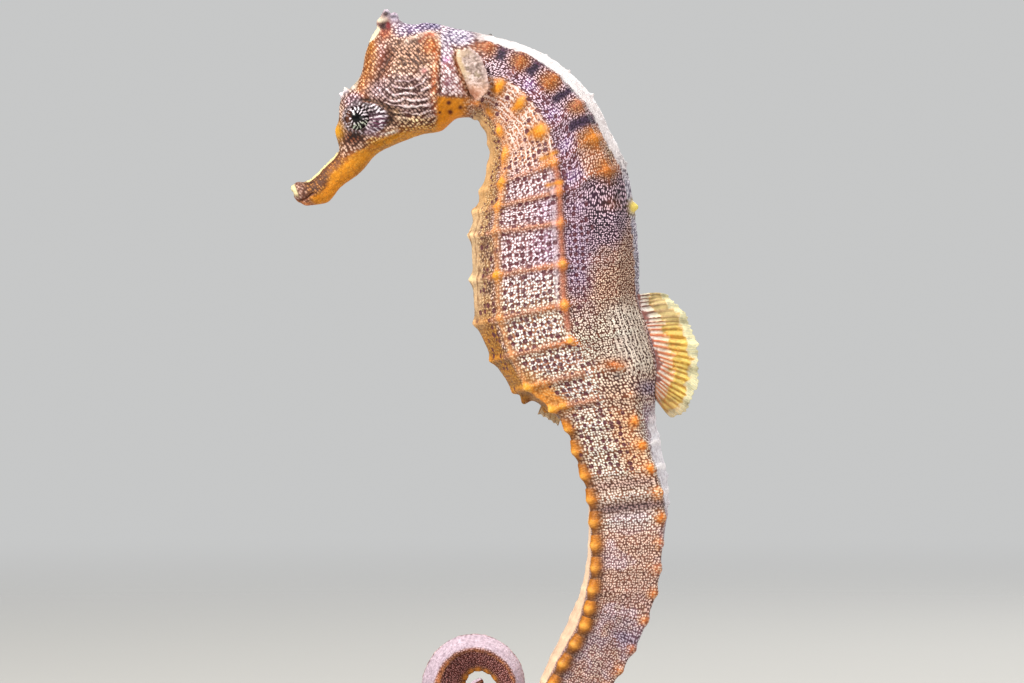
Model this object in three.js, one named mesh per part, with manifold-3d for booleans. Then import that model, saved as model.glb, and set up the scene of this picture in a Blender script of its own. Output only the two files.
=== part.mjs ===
// A lined seahorse, life size, swimming upright with its tail rolled forward,
// held over a flat round base by two short rods.
//
// Millimetres, +Z up. The animal faces -X and its left side faces -Y. The
// origin is the centre of the base's underside.
//
// The body is one loft along a ring coordinate r: the snout tip is r = -10,
// the shoulder r = 0, the trunk's bony rings are 1..11 and the tail's are
// 12 on. Each length of it is a closed solid of its own, with a thin gap to
// the next.
import * as THREE from 'three';
import { mergeVertices } from 'three/addons/utils/BufferGeometryUtils.js';
import Module from 'manifold-3d';

const wasm = await Module();
wasm.setup();

// ---------------------------------------------------------------- sizes (mm)
const GAP = 0.3;               // clearance between neighbouring solids
const R_SNOUT = -10;           // ring coordinate of the mouth
const R_TIP = 45.4;            // ring coordinate of the tail tip
const R_CURL = 19;             // the rolled part of the tail starts here

const RING_LEN_TOP = 3.52;     // length of a tail ring where the roll starts
const RING_LEN_TIP = 2.02;     // and at ring 47
const SIDE_SHIFT = 6.0;        // how far the coil drifts to the left side

const EYE_R = 2.05;
const EYE_AT = { x: -27.3, y: 2.75, z: 121.35 };

const BASE_R = 40, BASE_H = 8, BASE_BEVEL = 0.8;
const ROD_R = 1.5;
const RODS = { front: { x: -7.6, top: 25.6 }, back: { x: 3.6, top: 28.2 } };

// Stations of the body: ring r, back edge (x, z), belly edge (x, z), half width
const STATIONS = [
  [-10, -37.12, 111.42, -36.0, 108.88, 1.45],
  [-9.6, -36.15, 111.86, -34.72, 108.53, 1.7],
  [-9, -34.57, 112.13, -32.32, 108.65, 1.75],
  [-8, -32.25, 114.2, -29.85, 111.2, 1.5],
  [-7, -30.15, 116.6, -26.85, 113.45, 1.95],
  [-6.2, -30.38, 118.55, -24.45, 116.15, 2.9],
  [-5.5, -30.15, 121.25, -21.9, 117.42, 3.7],
  [-4.7, -29.7, 124.55, -19.35, 118.18, 4.3],
  [-4, -27.0, 127.7, -17.4, 118.62, 4.75],
  [-3.3, -26.1, 131.45, -15.75, 119.0, 5.05],
  [-2.6, -24.45, 134.6, -14.55, 119.6, 5.15],
  [-2, -20.7, 135.65, -13.65, 120.5, 5.1],
  [-1.3, -16.5, 135.8, -12.75, 121.32, 4.9],
  [-0.6, -12.75, 134.98, -11.78, 121.62, 4.8],
  [0, -9.3, 134.3, -10.5, 121.62, 4.9],
  [1, -3.15, 132.88, -8.85, 120.95, 5.5],
  [2, 2.4, 130.1, -7.72, 118.1, 6.2],
  [3, 7.65, 124.55, -7.5, 115.4, 6.8],
  [4, 10.35, 119.45, -8.32, 112.1, 7.2],
  [5, 12.82, 114.05, -9.22, 108.65, 7.5],
  [6, 14.18, 106.55, -10.2, 104.9, 7.7],
  [7, 14.7, 100.55, -10.05, 98.15, 7.8],
  [8, 14.85, 94.85, -9.6, 91.4, 7.7],
  [9, 16.5, 89.75, -7.2, 85.7, 7.3],
  [10, 17.7, 84.95, -3.9, 80.9, 6.7],
  [11, 17.4, 80.45, 0.75, 78.12, 6.0],
  [12, 17.32, 76.55, 4.05, 75.05, 5.45],
  [13, 18.0, 72.95, 5.32, 71.6, 5.15],
  [15, 19.2, 65.75, 7.57, 64.4, 4.8],
  [17, 18.68, 58.03, 7.57, 57.5, 4.5],
  [19, 17.47, 50.45, 6.3, 50.98, 4.2],
  [20, 16.12, 47.0, 5.18, 47.75, 4.1],
];

// The rolled tail: heading of its axis (degrees, clockwise, 90 is down) by ring
const CURL = { r: [19, 22, 25, 28, 31, 34, 37, 41, 47],
  deg: [106.8, 119.8, 117.2, 171.8, 226.1, 280.8, 369.4, 484, 775] };
// Half depth and half width of the tail by ring
const TAIL_SIZE = { r: [19, 21, 24, 27, 30, 33, 37, 41, 45.4],
  depth: [5.15, 4.65, 4.35, 4.0, 3.45, 2.8, 2.1, 1.45, 0.55],
  width: [4.2, 4.0, 3.65, 3.25, 2.8, 2.35, 1.9, 1.3, 0.5] };
// Roll of the section about the axis (degrees); + turns the belly to the left
const ROLL = { r: [-10, 8, 10, 12.5, 14.5, 17, 19, 21, 24, 27, 30, 34, 38, 45.4],
  deg: [0, 0, -4, -11, -9, 0, 9, 17, 13, 0, -14, -30, -34, -20] };

// Section outline from the back midline (0) to the belly keel (8): share of
// the depth, and share of the half width. 2, 4 and 6 are the bony ridges.
const SECTION = [
  { r: -10, a: [0, .038, .146, .309, .5, .691, .854, .962, 1], b: [0, .383, .707, .924, 1, .924, .707, .383, 0] },
  { r: -7, a: [0, .038, .146, .309, .5, .691, .854, .962, 1], b: [0, .383, .707, .924, 1, .924, .707, .383, 0] },
  { r: -5, a: [0, .02, .10, .24, .42, .62, .80, .93, 1], b: [0, .36, .68, .91, 1, .96, .78, .45, 0] },
  { r: -2, a: [0, .03, .10, .26, .45, .66, .83, .95, 1], b: [0, .22, .48, .80, 1, .98, .80, .48, 0] },
  { r: 0, a: [0, .03, .12, .30, .50, .68, .84, .95, 1], b: [0, .22, .52, .84, 1, .94, .70, .40, 0] },
  { r: 2, a: [0, .05, .13, .28, .46, .66, .85, .95, 1], b: [0, .28, .60, .80, 1, .88, .66, .34, 0] },
  { r: 8, a: [0, .05, .13, .28, .46, .66, .85, .95, 1], b: [0, .28, .60, .80, 1, .88, .66, .34, 0] },
  { r: 12, a: [0, .06, .18, .34, .52, .72, .92, .975, 1], b: [0, .42, .84, .97, 1, .98, .90, .48, 0] },
  { r: 16, a: [0, .01, .05, .26, .50, .75, .95, .99, 1], b: [0, .46, .92, .95, .98, .97, .92, .46, 0] },
  { r: 47, a: [0, .01, .05, .26, .50, .75, .95, .99, 1], b: [0, .46, .92, .95, .98, .97, .92, .46, 0] },
];
// How far each longitude stands out at a bony ring (mm)
const TRUNK_RISE = [.15, .12, .55, .16, .6, .16, .5, .14, .3];
const TAIL_RISE = [.1, .12, .6, .14, .12, .14, .7, .1, .05];

// ------------------------------------------------------------------- helpers
// Smooth curve through unevenly spaced values
function smooth(xs, ys, x) {
  const n = xs.length;
  let i = 0;
  while (i < n - 2 && x > xs[i + 1]) i++;
  const slope = k => {
    if (k <= 0) return (ys[1] - ys[0]) / (xs[1] - xs[0]);
    if (k >= n - 1) return (ys[n - 1] - ys[n - 2]) / (xs[n - 1] - xs[n - 2]);
    const d0 = xs[k] - xs[k - 1], d1 = xs[k + 1] - xs[k];
    return ((ys[k] - ys[k - 1]) / d0 * d1 + (ys[k + 1] - ys[k]) / d1 * d0) / (d0 + d1);
  };
  const h = xs[i + 1] - xs[i], t = (x - xs[i]) / h;
  return (1 + 2 * t) * (1 - t) ** 2 * ys[i] + t * (1 - t) ** 2 * h * slope(i)
    + t * t * (3 - 2 * t) * ys[i + 1] + t * t * (t - 1) * h * slope(i + 1);
}
// Straight lines between values, flat beyond the ends
function linear(xs, ys, x) {
  if (x <= xs[0]) return ys[0];
  for (let i = 1; i < xs.length; i++)
    if (x <= xs[i]) return ys[i - 1] + (ys[i] - ys[i - 1]) * (x - xs[i - 1]) / (xs[i] - xs[i - 1]);
  return ys[ys.length - 1];
}
const step = t => { t = Math.min(1, Math.max(0, t)); return t * t * (3 - 2 * t); };
const rad = THREE.MathUtils.degToRad;

const column = k => STATIONS.map(s => s[k]);
const S_R = column(0), S = [1, 2, 3, 4, 5].map(column);

// Axis of the rolled tail, followed in small steps from where it starts
const CURL_STEP = 0.05;
const curlAxis = (() => {
  const at = k => smooth(S_R, S[k], R_CURL);
  const path = [[(at(0) + at(2)) / 2, (at(1) + at(3)) / 2]];
  const dir = r => {
    const h = rad(smooth(CURL.r, CURL.deg, r));
    const len = RING_LEN_TOP + (RING_LEN_TIP - RING_LEN_TOP) * (r - R_CURL) / (47 - R_CURL);
    return [Math.cos(h) * len, -Math.sin(h) * len];
  };
  for (let i = 1; i * CURL_STEP <= 47 - R_CURL + 1e-9; i++) {
    const a = dir(R_CURL + (i - 1) * CURL_STEP), b = dir(R_CURL + i * CURL_STEP);
    const p = path[i - 1];
    path.push([p[0] + (a[0] + b[0]) / 2 * CURL_STEP, p[1] + (a[1] + b[1]) / 2 * CURL_STEP]);
  }
  return path;
})();

// Frame of the body at ring r: centre, unit vectors to the belly and to the
// animal's left, half depth and half width
function frameAt(r) {
  let cx, cz, vx, vz, depth, width;
  if (r <= R_CURL) {
    const [dx, dz, bx, bz, w] = S.map(c => smooth(S_R, c, r));
    cx = (dx + bx) / 2; cz = (dz + bz) / 2;
    depth = Math.hypot(bx - dx, bz - dz) / 2;
    vx = (bx - dx) / 2 / depth; vz = (bz - dz) / 2 / depth;
    width = w;
    if (r > 15) depth += (smooth(TAIL_SIZE.r, TAIL_SIZE.depth, R_CURL) - 5.591) * step((r - 15) / 4);
  } else {
    const f = (r - R_CURL) / CURL_STEP, i = Math.min(Math.floor(f), curlAxis.length - 2), t = f - i;
    cx = curlAxis[i][0] * (1 - t) + curlAxis[i + 1][0] * t;
    cz = curlAxis[i][1] * (1 - t) + curlAxis[i + 1][1] * t;
    const h = rad(smooth(CURL.r, CURL.deg, r));
    // the section plane eases from the last station's tilt to the axis normal
    const blend = step((r - R_CURL) / 2);
    const k = [0, 1, 2, 3].map(c => smooth(S_R, S[c], R_CURL));
    const l = Math.hypot(k[2] - k[0], k[3] - k[1]);
    vx = -Math.sin(h) * blend + (k[2] - k[0]) / l * (1 - blend);
    vz = -Math.cos(h) * blend + (k[3] - k[1]) / l * (1 - blend);
    const n = Math.hypot(vx, vz); vx /= n; vz /= n;
    depth = smooth(TAIL_SIZE.r, TAIL_SIZE.depth, r);
    width = smooth(TAIL_SIZE.r, TAIL_SIZE.width, r);
  }
  const cy = -SIDE_SHIFT * step((r - 22) / 24);
  const roll = rad(linear(ROLL.r, ROLL.deg, r));
  const belly = new THREE.Vector3(vx * Math.cos(roll), -Math.sin(roll), vz * Math.cos(roll));
  const left = new THREE.Vector3(-vx * Math.sin(roll), -Math.cos(roll), -vz * Math.sin(roll));
  return { c: new THREE.Vector3(cx, cy, cz), belly, left, depth, width };
}

function sectionShape(r) {
  const rs = SECTION.map(s => s.r);
  const pick = key => SECTION[0][key].map((_, j) => linear(rs, SECTION.map(s => s[key][j]), r));
  return { a: pick('a'), b: pick('b') };
}

// One ring of 16 points at ring coordinate r; peak 1 is on a bony ring and 0
// is halfway to the next; grow moves the outline out by that many mm
function sectionAt(r, peak = 0, grow = 0) {
  const f = frameAt(r), s = sectionShape(r);
  const toTail = step((r - 10.5) / 2);
  const size = Math.min(1, f.depth / 4.6);
  const ring = step((r + 0.2) / 1.5);
  const pts = [];
  for (let k = 0; k < 16; k++) {
    const j = k <= 8 ? k : 16 - k, side = k <= 8 ? 1 : -1;
    const p = f.belly.clone().multiplyScalar(f.depth * (2 * s.a[j] - 1))
      .addScaledVector(f.left, f.width * s.b[j] * side);
    const rise = (TRUNK_RISE[j] * (1 - toTail) + TAIL_RISE[j] * toTail) * size * ring * peak + grow;
    p.setLength(p.length() + rise);
    pts.push(p.add(f.c));
  }
  return pts;
}

// Closed solid through rings of points
function loft(rings) {
  const n = rings[0].length, pos = [], idx = [];
  for (const ring of rings) for (const p of ring) pos.push(p.x, p.y, p.z);
  for (let i = 0; i + 1 < rings.length; i++)
    for (let k = 0; k < n; k++) {
      const a = i * n + k, b = i * n + (k + 1) % n, c = a + n, d = b + n;
      idx.push(a, c, b, b, c, d);
    }
  for (const [i, flip] of [[0, false], [rings.length - 1, true]]) {
    const m = rings[i].reduce((s, p) => s.add(p), new THREE.Vector3()).divideScalar(n);
    const at = pos.length / 3;
    pos.push(m.x, m.y, m.z);
    for (let k = 0; k < n; k++) {
      const a = i * n + k, b = i * n + (k + 1) % n;
      idx.push(...(flip ? [at, b, a] : [at, a, b]));
    }
  }
  const g = new THREE.BufferGeometry();
  g.setAttribute('position', new THREE.Float32BufferAttribute(pos, 3));
  g.setIndex(idx);
  return g;
}

function toSolid(geometry) {
  let g = geometry.index ? geometry.toNonIndexed() : geometry.clone();
  g.deleteAttribute('normal'); g.deleteAttribute('uv');
  g = mergeVertices(g, 1e-4);
  const solid = new wasm.Manifold(new wasm.Mesh({ numProp: 3,
    vertProperties: new Float32Array(g.attributes.position.array),
    triVerts: new Uint32Array(g.index.array) }));
  return solid;
}
function toGeometry(solid) {
  const m = solid.getMesh();
  const g = new THREE.BufferGeometry();
  g.setAttribute('position', new THREE.BufferAttribute(new Float32Array(m.vertProperties), 3));
  g.setIndex(new THREE.BufferAttribute(new Uint32Array(m.triVerts), 1));
  return g;
}

// Where each bony ring of the trunk lies along the body; the tail's lie at
// their own numbers
const RING_AT = [0.28, 1.27, 2.24, 3.22, 4.32, 5.25, 6.04, 7, 7.97, 8.94, 9.9, 10.95, 12];
function ringAt(k) {
  if (k >= 12) return k;
  const i = Math.max(0, Math.floor(k));
  return RING_AT[i] + (RING_AT[i + 1] - RING_AT[i]) * (k - i);
}
function ringOf(r) {
  if (r >= 12) return r;
  let i = 0;
  while (i < 11 && r > RING_AT[i + 1]) i++;
  return i + (r - RING_AT[i]) / (RING_AT[i + 1] - RING_AT[i]);
}
// Ring coordinates of the sections between two ends
function ringsBetween(r0, r1) {
  const list = [[r0, peakAt(r0)]];
  const add = (r, p) => { if (r > r0 + 0.06 && r < r1 - 0.06) list.push([r, p]); };
  if (r0 < 0) for (let r = Math.ceil(r0 * 2) / 2; r < Math.min(r1, 0.5); r += 0.5) add(r, 0);
  for (let k = Math.max(1, Math.floor(r0)); k <= Math.ceil(r1); k++) {
    add(ringAt(k - 0.5), 0); add(ringAt(k - 0.16), 1); add(ringAt(k + 0.16), 1);
  }
  list.push([r1, peakAt(r1)]);
  return list.sort((a, b) => a[0] - b[0]);
}
function peakAt(r) {
  const k = ringOf(r), d = Math.abs(k - Math.round(k));
  return k < 0.5 ? 0 : d <= 0.16 ? 1 : 1 - (d - 0.16) / 0.34;
}
// Length of the body from r0 to r1; its ends stand back from the cuts
function bodyLength(r0, r1, grow = 0) {
  const back = r => GAP / 2 / frameAt(r + 0.05).c.distanceTo(frameAt(r - 0.05).c) * 0.1;
  const a = r0 <= R_SNOUT ? r0 : r0 + back(r0), b = r1 >= R_TIP ? r1 : r1 - back(r1);
  return loft(ringsBetween(a, b).map(([r, p]) => sectionAt(r, p, grow)));
}

// Cone from a point along a direction, for a spine or a knob
function spike(at, dir, length, radius, tip = 0.15) {
  const g = new THREE.CylinderGeometry(tip, radius, length, 7, 1);
  g.translate(0, length / 2, 0);
  const q = new THREE.Quaternion().setFromUnitVectors(new THREE.Vector3(0, 1, 0), dir.clone().normalize());
  g.applyQuaternion(q);
  g.translate(at.x, at.y, at.z);
  return toSolid(g);
}
const V = (x, y, z) => new THREE.Vector3(x, y, z);

// Thin closed plate over a grid: at(u, v) gives its middle and half thickness
function plate(at, nu, nv) {
  const P = (u, v) => at(u, v).p;
  const pos = [], idx = [], w = nv + 1, N = (nu + 1) * w;
  for (const side of [1, -1])
    for (let i = 0; i <= nu; i++)
      for (let j = 0; j <= nv; j++) {
        const u = i / nu, v = j / nv, e = 1e-3;
        const du = P(Math.min(1, u + e), v).sub(P(Math.max(0, u - e), v));
        const dv = P(u, Math.min(1, v + e)).sub(P(u, Math.max(0, v - e)));
        const n = du.cross(dv).normalize();
        const { p, t } = at(u, v);
        p.addScaledVector(n, t * side);
        pos.push(p.x, p.y, p.z);
      }
  const id = (s, i, j) => s * N + i * w + j;
  for (let i = 0; i < nu; i++)
    for (let j = 0; j < nv; j++) {
      idx.push(id(0, i, j), id(0, i + 1, j), id(0, i + 1, j + 1), id(0, i, j), id(0, i + 1, j + 1), id(0, i, j + 1));
      idx.push(id(1, i, j), id(1, i + 1, j + 1), id(1, i + 1, j), id(1, i, j), id(1, i, j + 1), id(1, i + 1, j + 1));
    }
  const wall = (a, b, c, d) => idx.push(a, b, c, b, d, c);
  for (let i = 0; i < nu; i++) {
    wall(id(1, i, 0), id(1, i + 1, 0), id(0, i, 0), id(0, i + 1, 0));
    wall(id(0, i, nv), id(0, i + 1, nv), id(1, i, nv), id(1, i + 1, nv));
  }
  for (let j = 0; j < nv; j++) {
    wall(id(0, 0, j), id(0, 0, j + 1), id(1, 0, j), id(1, 0, j + 1));
    wall(id(1, nu, j), id(1, nu, j + 1), id(0, nu, j), id(0, nu, j + 1));
  }
  const g = new THREE.BufferGeometry();
  g.setAttribute('position', new THREE.Float32BufferAttribute(pos, 3));
  g.setIndex(idx);
  return g;
}
function outward(geometry) {
  const p = geometry.attributes.position, ix = geometry.index;
  let vol = 0;
  const a = V(), b = V(), c = V();
  for (let i = 0; i < ix.count; i += 3) {
    a.fromBufferAttribute(p, ix.getX(i)); b.fromBufferAttribute(p, ix.getX(i + 1)); c.fromBufferAttribute(p, ix.getX(i + 2));
    vol += a.dot(b.cross(c));
  }
  if (vol < 0) for (let i = 0; i < ix.count; i += 3) {
    const t = ix.getX(i + 1); ix.setX(i + 1, ix.getX(i + 2)); ix.setX(i + 2, t);
  }
  return geometry;
}

// ------------------------------------------------------------------ the part
const group = new THREE.Group();
group.name = 'seahorse';
const finish = {
  head: [0xb8875f, 0.55], trunk: [0xb9a4a6, 0.55], tail: [0xc0a39a, 0.55], snout: [0xb97a3c, 0.5],
  crown: [0xd9cfd6, 0.55], eye: [0x2a2326, 0.12], fin: [0xd9cba0, 0.4], back_fin: [0xc9a860, 0.4],
};
function put(name, shape, [color, roughness], metalness = 0) {
  const geometry = shape.isBufferGeometry ? shape : toGeometry(shape);
  const mesh = new THREE.Mesh(geometry, new THREE.MeshStandardMaterial({ color, roughness, metalness }));
  mesh.name = name;
  group.add(mesh);
}
const solidLength = (r0, r1, grow) => toSolid(outward(bodyLength(r0, r1, grow)));

// Snout, flat across the closed mouth at its end
put('snout', solidLength(-10, -7), finish.snout);

// Head with its eye sockets, eye spines, nose bump, cheek and nape knobs
let head = solidLength(-7, -0.9);
const both = f => [-1, 1].map(f);
for (const s of [-1, 1]) {
  head = head.add(spike(V(-28.9, s * 1.3, 123.6), V(-0.75, s * 0.5, 0.75), 2.6, 0.7));
  head = head.add(spike(V(-27.6, s * 1.5, 124.9), V(-0.6, s * 0.45, 0.9), 1.9, 0.6));
  head = head.add(spike(V(-16.5, s * 2.6, 131.7), V(0.1, s * 0.9, 0.5), 2.3, 1.7, 0.5));
  head = head.add(spike(V(-18.6, s * 3.6, 120.4), V(-0.1, s * 0.9, -0.5), 1.2, 0.9, 0.25));
}
head = head.add(spike(V(-29.6, 0, 119.2), V(-1, 0, 0.15), 1.1, 1.1, 0.45));
for (const s of [-1, 1]) {
  const socket = new THREE.SphereGeometry(EYE_R + GAP, 16, 10);
  socket.translate(EYE_AT.x, s * EYE_AT.y, EYE_AT.z);
  head = head.subtract(toSolid(socket));
}
put('head', head, finish.head);

for (const [s, name] of [[-1, 'eye_left'], [1, 'eye_right']]) {
  const ball = new THREE.SphereGeometry(EYE_R, 16, 12);
  ball.rotateX(Math.PI / 2);
  ball.translate(EYE_AT.x, s * EYE_AT.y, EYE_AT.z);
  put(name, toSolid(ball), finish.eye);
}

// Gill covers: low domes on the cheeks, with a gap to the head
const headSkin = toSolid(outward(bodyLength(-7.6, 0.2, GAP)));
for (const [s, name] of [[-1, 'gill_cover_left'], [1, 'gill_cover_right']]) {
  const dome = new THREE.SphereGeometry(1, 18, 8);
  dome.scale(5.6, 1.5, 4.5);
  dome.rotateY(rad(-18));
  dome.translate(-18.9, s * 4.55, 125.1);
  put(name, toSolid(dome).subtract(headSkin), finish.head);
}

// Coronet: a low crown of one stem and five short points
let crown = toSolid(new THREE.CylinderGeometry(1.15, 2.2, 3.0, 12, 1).rotateX(Math.PI / 2).translate(-22.4, 0, 135.1));
for (let i = 0; i < 5; i++) {
  const a = rad(72 * i + 180);
  crown = crown.add(spike(V(-22.6 + 0.5 * Math.cos(a), 0.5 * Math.sin(a), 135.6),
    V(Math.cos(a) * 0.72, Math.sin(a) * 0.72, 0.9), 2.2, 0.62, 0.22));
}
put('coronet', crown.subtract(headSkin), finish.crown);

// Neck and trunk
const TRUNK = [['neck', -0.9, 1.0], ['trunk_upper', 1.0, 4.5], ['trunk_middle', 4.5, 7.5], ['trunk_lower', 7.5, 11.5]];
for (const [name, r0, r1] of TRUNK) {
  let part = solidLength(r0, r1);
  if (name === 'trunk_lower') part = part.add(spike(V(-0.9, 0, 80.4), V(-0.45, 0, -1), 2.2, 1.0, 0.45));
  put(name, part, finish.trunk);
}

// Tail, in lengths that each bend less than a right angle
const TAIL_CUTS = [11.5, 15.5, 19.5, 23.5, 27.5, 31.5, 35.5, 39.5, R_TIP];
for (let i = 0; i + 1 < TAIL_CUTS.length; i++)
  put(`tail_${i + 1}`, solidLength(TAIL_CUTS[i], TAIL_CUTS[i + 1]), finish.tail);

// Dorsal fin: a fan of rays from the last trunk rings, scalloped at its edge
const DORSAL = { r0: 7.95, r1: 11.1, u: [0, .15, .3, .5, .7, .85, 1],
  len: [2.1, 4.5, 6.0, 6.5, 6.9, 6.3, 4.6], deg: [24, 22, 12, -3, -13, -21, -42], rays: 18 };
const trunkSkin = toSolid(outward(bodyLength(7, 13, GAP)));
const dorsal = plate((u, v) => {
  const f = frameAt(DORSAL.r0 + (DORSAL.r1 - DORSAL.r0) * u);
  const p = f.c.clone().addScaledVector(f.belly, -f.depth * 0.965);
  const a = rad(smooth(DORSAL.u, DORSAL.deg, u));
  const len = smooth(DORSAL.u, DORSAL.len, u) * (1 - 0.05 * Math.abs(Math.sin(Math.PI * u * DORSAL.rays / 2)));
  p.x += Math.cos(a) * len * v; p.z += Math.sin(a) * len * v;
  p.y = 0.25 * Math.sin(u * 9) * v;
  return { p, t: 0.85 - 0.55 * step(v * 1.5) };
}, 18, 3);
put('dorsal_fin', toSolid(outward(dorsal)).subtract(trunkSkin), finish.back_fin);

// Pectoral fins: small fans, half folded back along the neck
const PECT = { u: [0, .33, .66, 1], bx: [-12.3, -11.6, -11.0, -10.5], bz: [130.9, 128.7, 126.3, 124.0],
  ex: [-10.4, -8.3, -7.5, -9.4], ez: [132.3, 129.9, 126.6, 123.7] };
const neckSkin = toSolid(outward(bodyLength(-3, 3, GAP)));
for (const [s, name] of [[-1, 'pectoral_fin_left'], [1, 'pectoral_fin_right']]) {
  const fan = plate((u, v) => {
    const at = k => smooth(PECT.u, PECT[k], u);
    const p = V(at('bx') + (at('ex') - at('bx')) * v, 0, at('bz') + (at('ez') - at('bz')) * v);
    p.y = s * (4.15 + 0.5 * Math.sin(Math.PI * u) + 2.1 * Math.pow(v, 0.8) + 0.18 * Math.cos(u * 40) * v);
    return { p, t: 0.28 };
  }, 12, 4);
  const pieces = toSolid(outward(fan)).subtract(neckSkin).decompose();
  pieces.sort((a, b) => b.volume() - a.volume());
  put(name, pieces[0], finish.fin);
}

// Anal fin: a tiny film behind the vent
const anal = plate((u, v) => {
  const f = frameAt(10.8 + 0.75 * u);
  const p = f.c.clone().addScaledVector(f.belly, f.depth * 0.97);
  const len = 1.7 - 0.5 * u;
  p.x += -0.35 * len * v; p.z += -0.95 * len * v; p.y = 0;
  return { p, t: 0.28 };
}, 6, 3);
put('anal_fin', toSolid(outward(anal)).subtract(trunkSkin), finish.fin);

// Stand: a flat round base and two short rods up to the tail's lowest bend
const profile = [[0, 0], [BASE_R, 0], [BASE_R, BASE_H - BASE_BEVEL], [BASE_R - BASE_BEVEL, BASE_H], [0, BASE_H]]
  .map(([x, y]) => new THREE.Vector2(x, y));
put('stand_base', toSolid(new THREE.LatheGeometry(profile, 60).rotateX(Math.PI / 2)), [0x1c1c1e, 0.45], 0.2);
for (const [which, { x, top }] of Object.entries(RODS)) {
  const r = which === 'front' ? [26, 32] : [22, 29];
  const rod = new THREE.CylinderGeometry(ROD_R, ROD_R, top - BASE_H, 20, 1).rotateX(Math.PI / 2)
    .translate(x, which === 'front' ? -1.2 : -0.4, (top + BASE_H) / 2);
  const solid = toSolid(rod).subtract(toSolid(outward(bodyLength(r[0], r[1], 0.25))));
  const pieces = solid.decompose().sort((a, b) => b.volume() - a.volume());
  put(`stand_rod_${which}`, pieces[0], [0xb9bcc0, 0.3], 1);
}

export default group;
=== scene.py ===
# A lined seahorse on a plain display stand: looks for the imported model.
import math
import bpy
import numpy as np
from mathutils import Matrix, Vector


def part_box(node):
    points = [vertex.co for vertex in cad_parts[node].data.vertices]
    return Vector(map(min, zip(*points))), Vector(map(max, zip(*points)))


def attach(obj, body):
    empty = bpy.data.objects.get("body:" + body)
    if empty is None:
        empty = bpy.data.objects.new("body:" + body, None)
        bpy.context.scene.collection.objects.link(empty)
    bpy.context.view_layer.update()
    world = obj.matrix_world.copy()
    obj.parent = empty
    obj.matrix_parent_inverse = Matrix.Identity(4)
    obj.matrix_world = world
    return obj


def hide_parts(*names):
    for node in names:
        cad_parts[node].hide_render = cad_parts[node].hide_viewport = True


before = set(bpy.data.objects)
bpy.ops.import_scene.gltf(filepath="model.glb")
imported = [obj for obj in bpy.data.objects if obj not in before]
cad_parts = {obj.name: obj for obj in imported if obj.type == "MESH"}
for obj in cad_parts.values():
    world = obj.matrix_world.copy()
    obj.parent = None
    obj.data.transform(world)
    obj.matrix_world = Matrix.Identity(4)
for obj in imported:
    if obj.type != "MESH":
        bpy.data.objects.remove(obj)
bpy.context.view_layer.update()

MM = 0.001
UNIT = 0.15            # the side grid: one grid step is 0.15 mm
GX0, GZ0 = 540.0, 139.25   # grid (u, v): x = (u - GX0) * UNIT, z = GZ0 - v * UNIT

# ------------------------------------------------------------ camera, lights
scene = bpy.context.scene
scene.view_settings.view_transform = "Standard"
DIST, FRAME_W = 0.64, 1024 * UNIT * MM
cam_data = bpy.data.cameras.new("camera")
cam_data.sensor_width = 36.0
cam_data.lens = 36.0 * DIST / FRAME_W
cam_data.clip_start, cam_data.clip_end = 0.01, 50.0
cam = bpy.data.objects.new("camera", cam_data)
cam.location = ((512 - GX0) * UNIT * MM, -DIST, (GZ0 - 341.5 * UNIT) * MM)
cam.rotation_euler = (math.radians(90), 0, 0)
scene.collection.objects.link(cam)
scene.camera = cam


def area(name, at, target, size, power, color=(1, 1, 1)):
    d = bpy.data.lights.new(name, "AREA")
    d.shape, d.size, d.energy, d.color = "DISK", size, power, color
    o = bpy.data.objects.new(name, d)
    o.location = at
    o.rotation_mode = "QUATERNION"
    o.rotation_quaternion = (Vector(target) - Vector(at)).to_track_quat("-Z", "Y")
    scene.collection.objects.link(o)


area("key", (-0.55, -0.62, 0.78), (0, 0, 0.085), 0.30, 14.3, (1.0, 0.965, 0.90))
area("fill", (0.70, -0.70, 0.20), (0, 0, 0.085), 0.6, 2.6, (1.0, 0.97, 0.93))
area("back", (0.45, 0.75, 0.60), (0, 0, 0.085), 0.5, 5.0, (1.0, 0.98, 0.95))
area("top", (0.05, -0.10, 1.1), (0, 0, 0.085), 0.5, 3.8, (1.0, 0.98, 0.94))


# ------------------------------------------------------------------- colours
def C(r, g, b):
    """sRGB 0-255 to linear."""
    c = np.array([r, g, b], float) / 255
    return np.where(c <= 0.04045, c / 12.92, ((c + 0.055) / 1.055) ** 2.4)


def clamp01(x):
    return np.clip(x, 0.0, 1.0)


def sstep(x, a, b):
    t = clamp01((x - a) / (b - a))
    return t * t * (3 - 2 * t)


def gauss(d, w):
    return np.exp(-((d / w) ** 2))


def band(x, a, b, soft):
    """1 between a and b, fading over soft on either side."""
    return sstep(x, a - soft, a + soft) * (1 - sstep(x, b - soft, b + soft))


def hash3(ix, iy, iz, seed):
    with np.errstate(over="ignore"):
        h = (ix.astype(np.uint32) * np.uint32(374761393) + iy.astype(np.uint32) * np.uint32(668265263)
             + iz.astype(np.uint32) * np.uint32(2246822519) + np.uint32(seed * 3266489917 % 2**32))
        h = (h ^ (h >> np.uint32(13))) * np.uint32(1274126177)
        h = h ^ (h >> np.uint32(16))
    return (h & np.uint32(0xFFFFFF)).astype(float) / float(0xFFFFFF)


def vnoise(p, seed=0):
    """Smooth value noise at points p (..., 3), from -1 to 1."""
    i = np.floor(p).astype(np.int64)
    f = p - i
    f = f * f * (3 - 2 * f)
    out = 0
    for dx in (0, 1):
        for dy in (0, 1):
            for dz in (0, 1):
                w = (np.where(dx, f[..., 0], 1 - f[..., 0]) * np.where(dy, f[..., 1], 1 - f[..., 1])
                     * np.where(dz, f[..., 2], 1 - f[..., 2]))
                out = out + w * hash3(i[..., 0] + dx, i[..., 1] + dy, i[..., 2] + dz, seed)
    return out * 2 - 1


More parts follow.
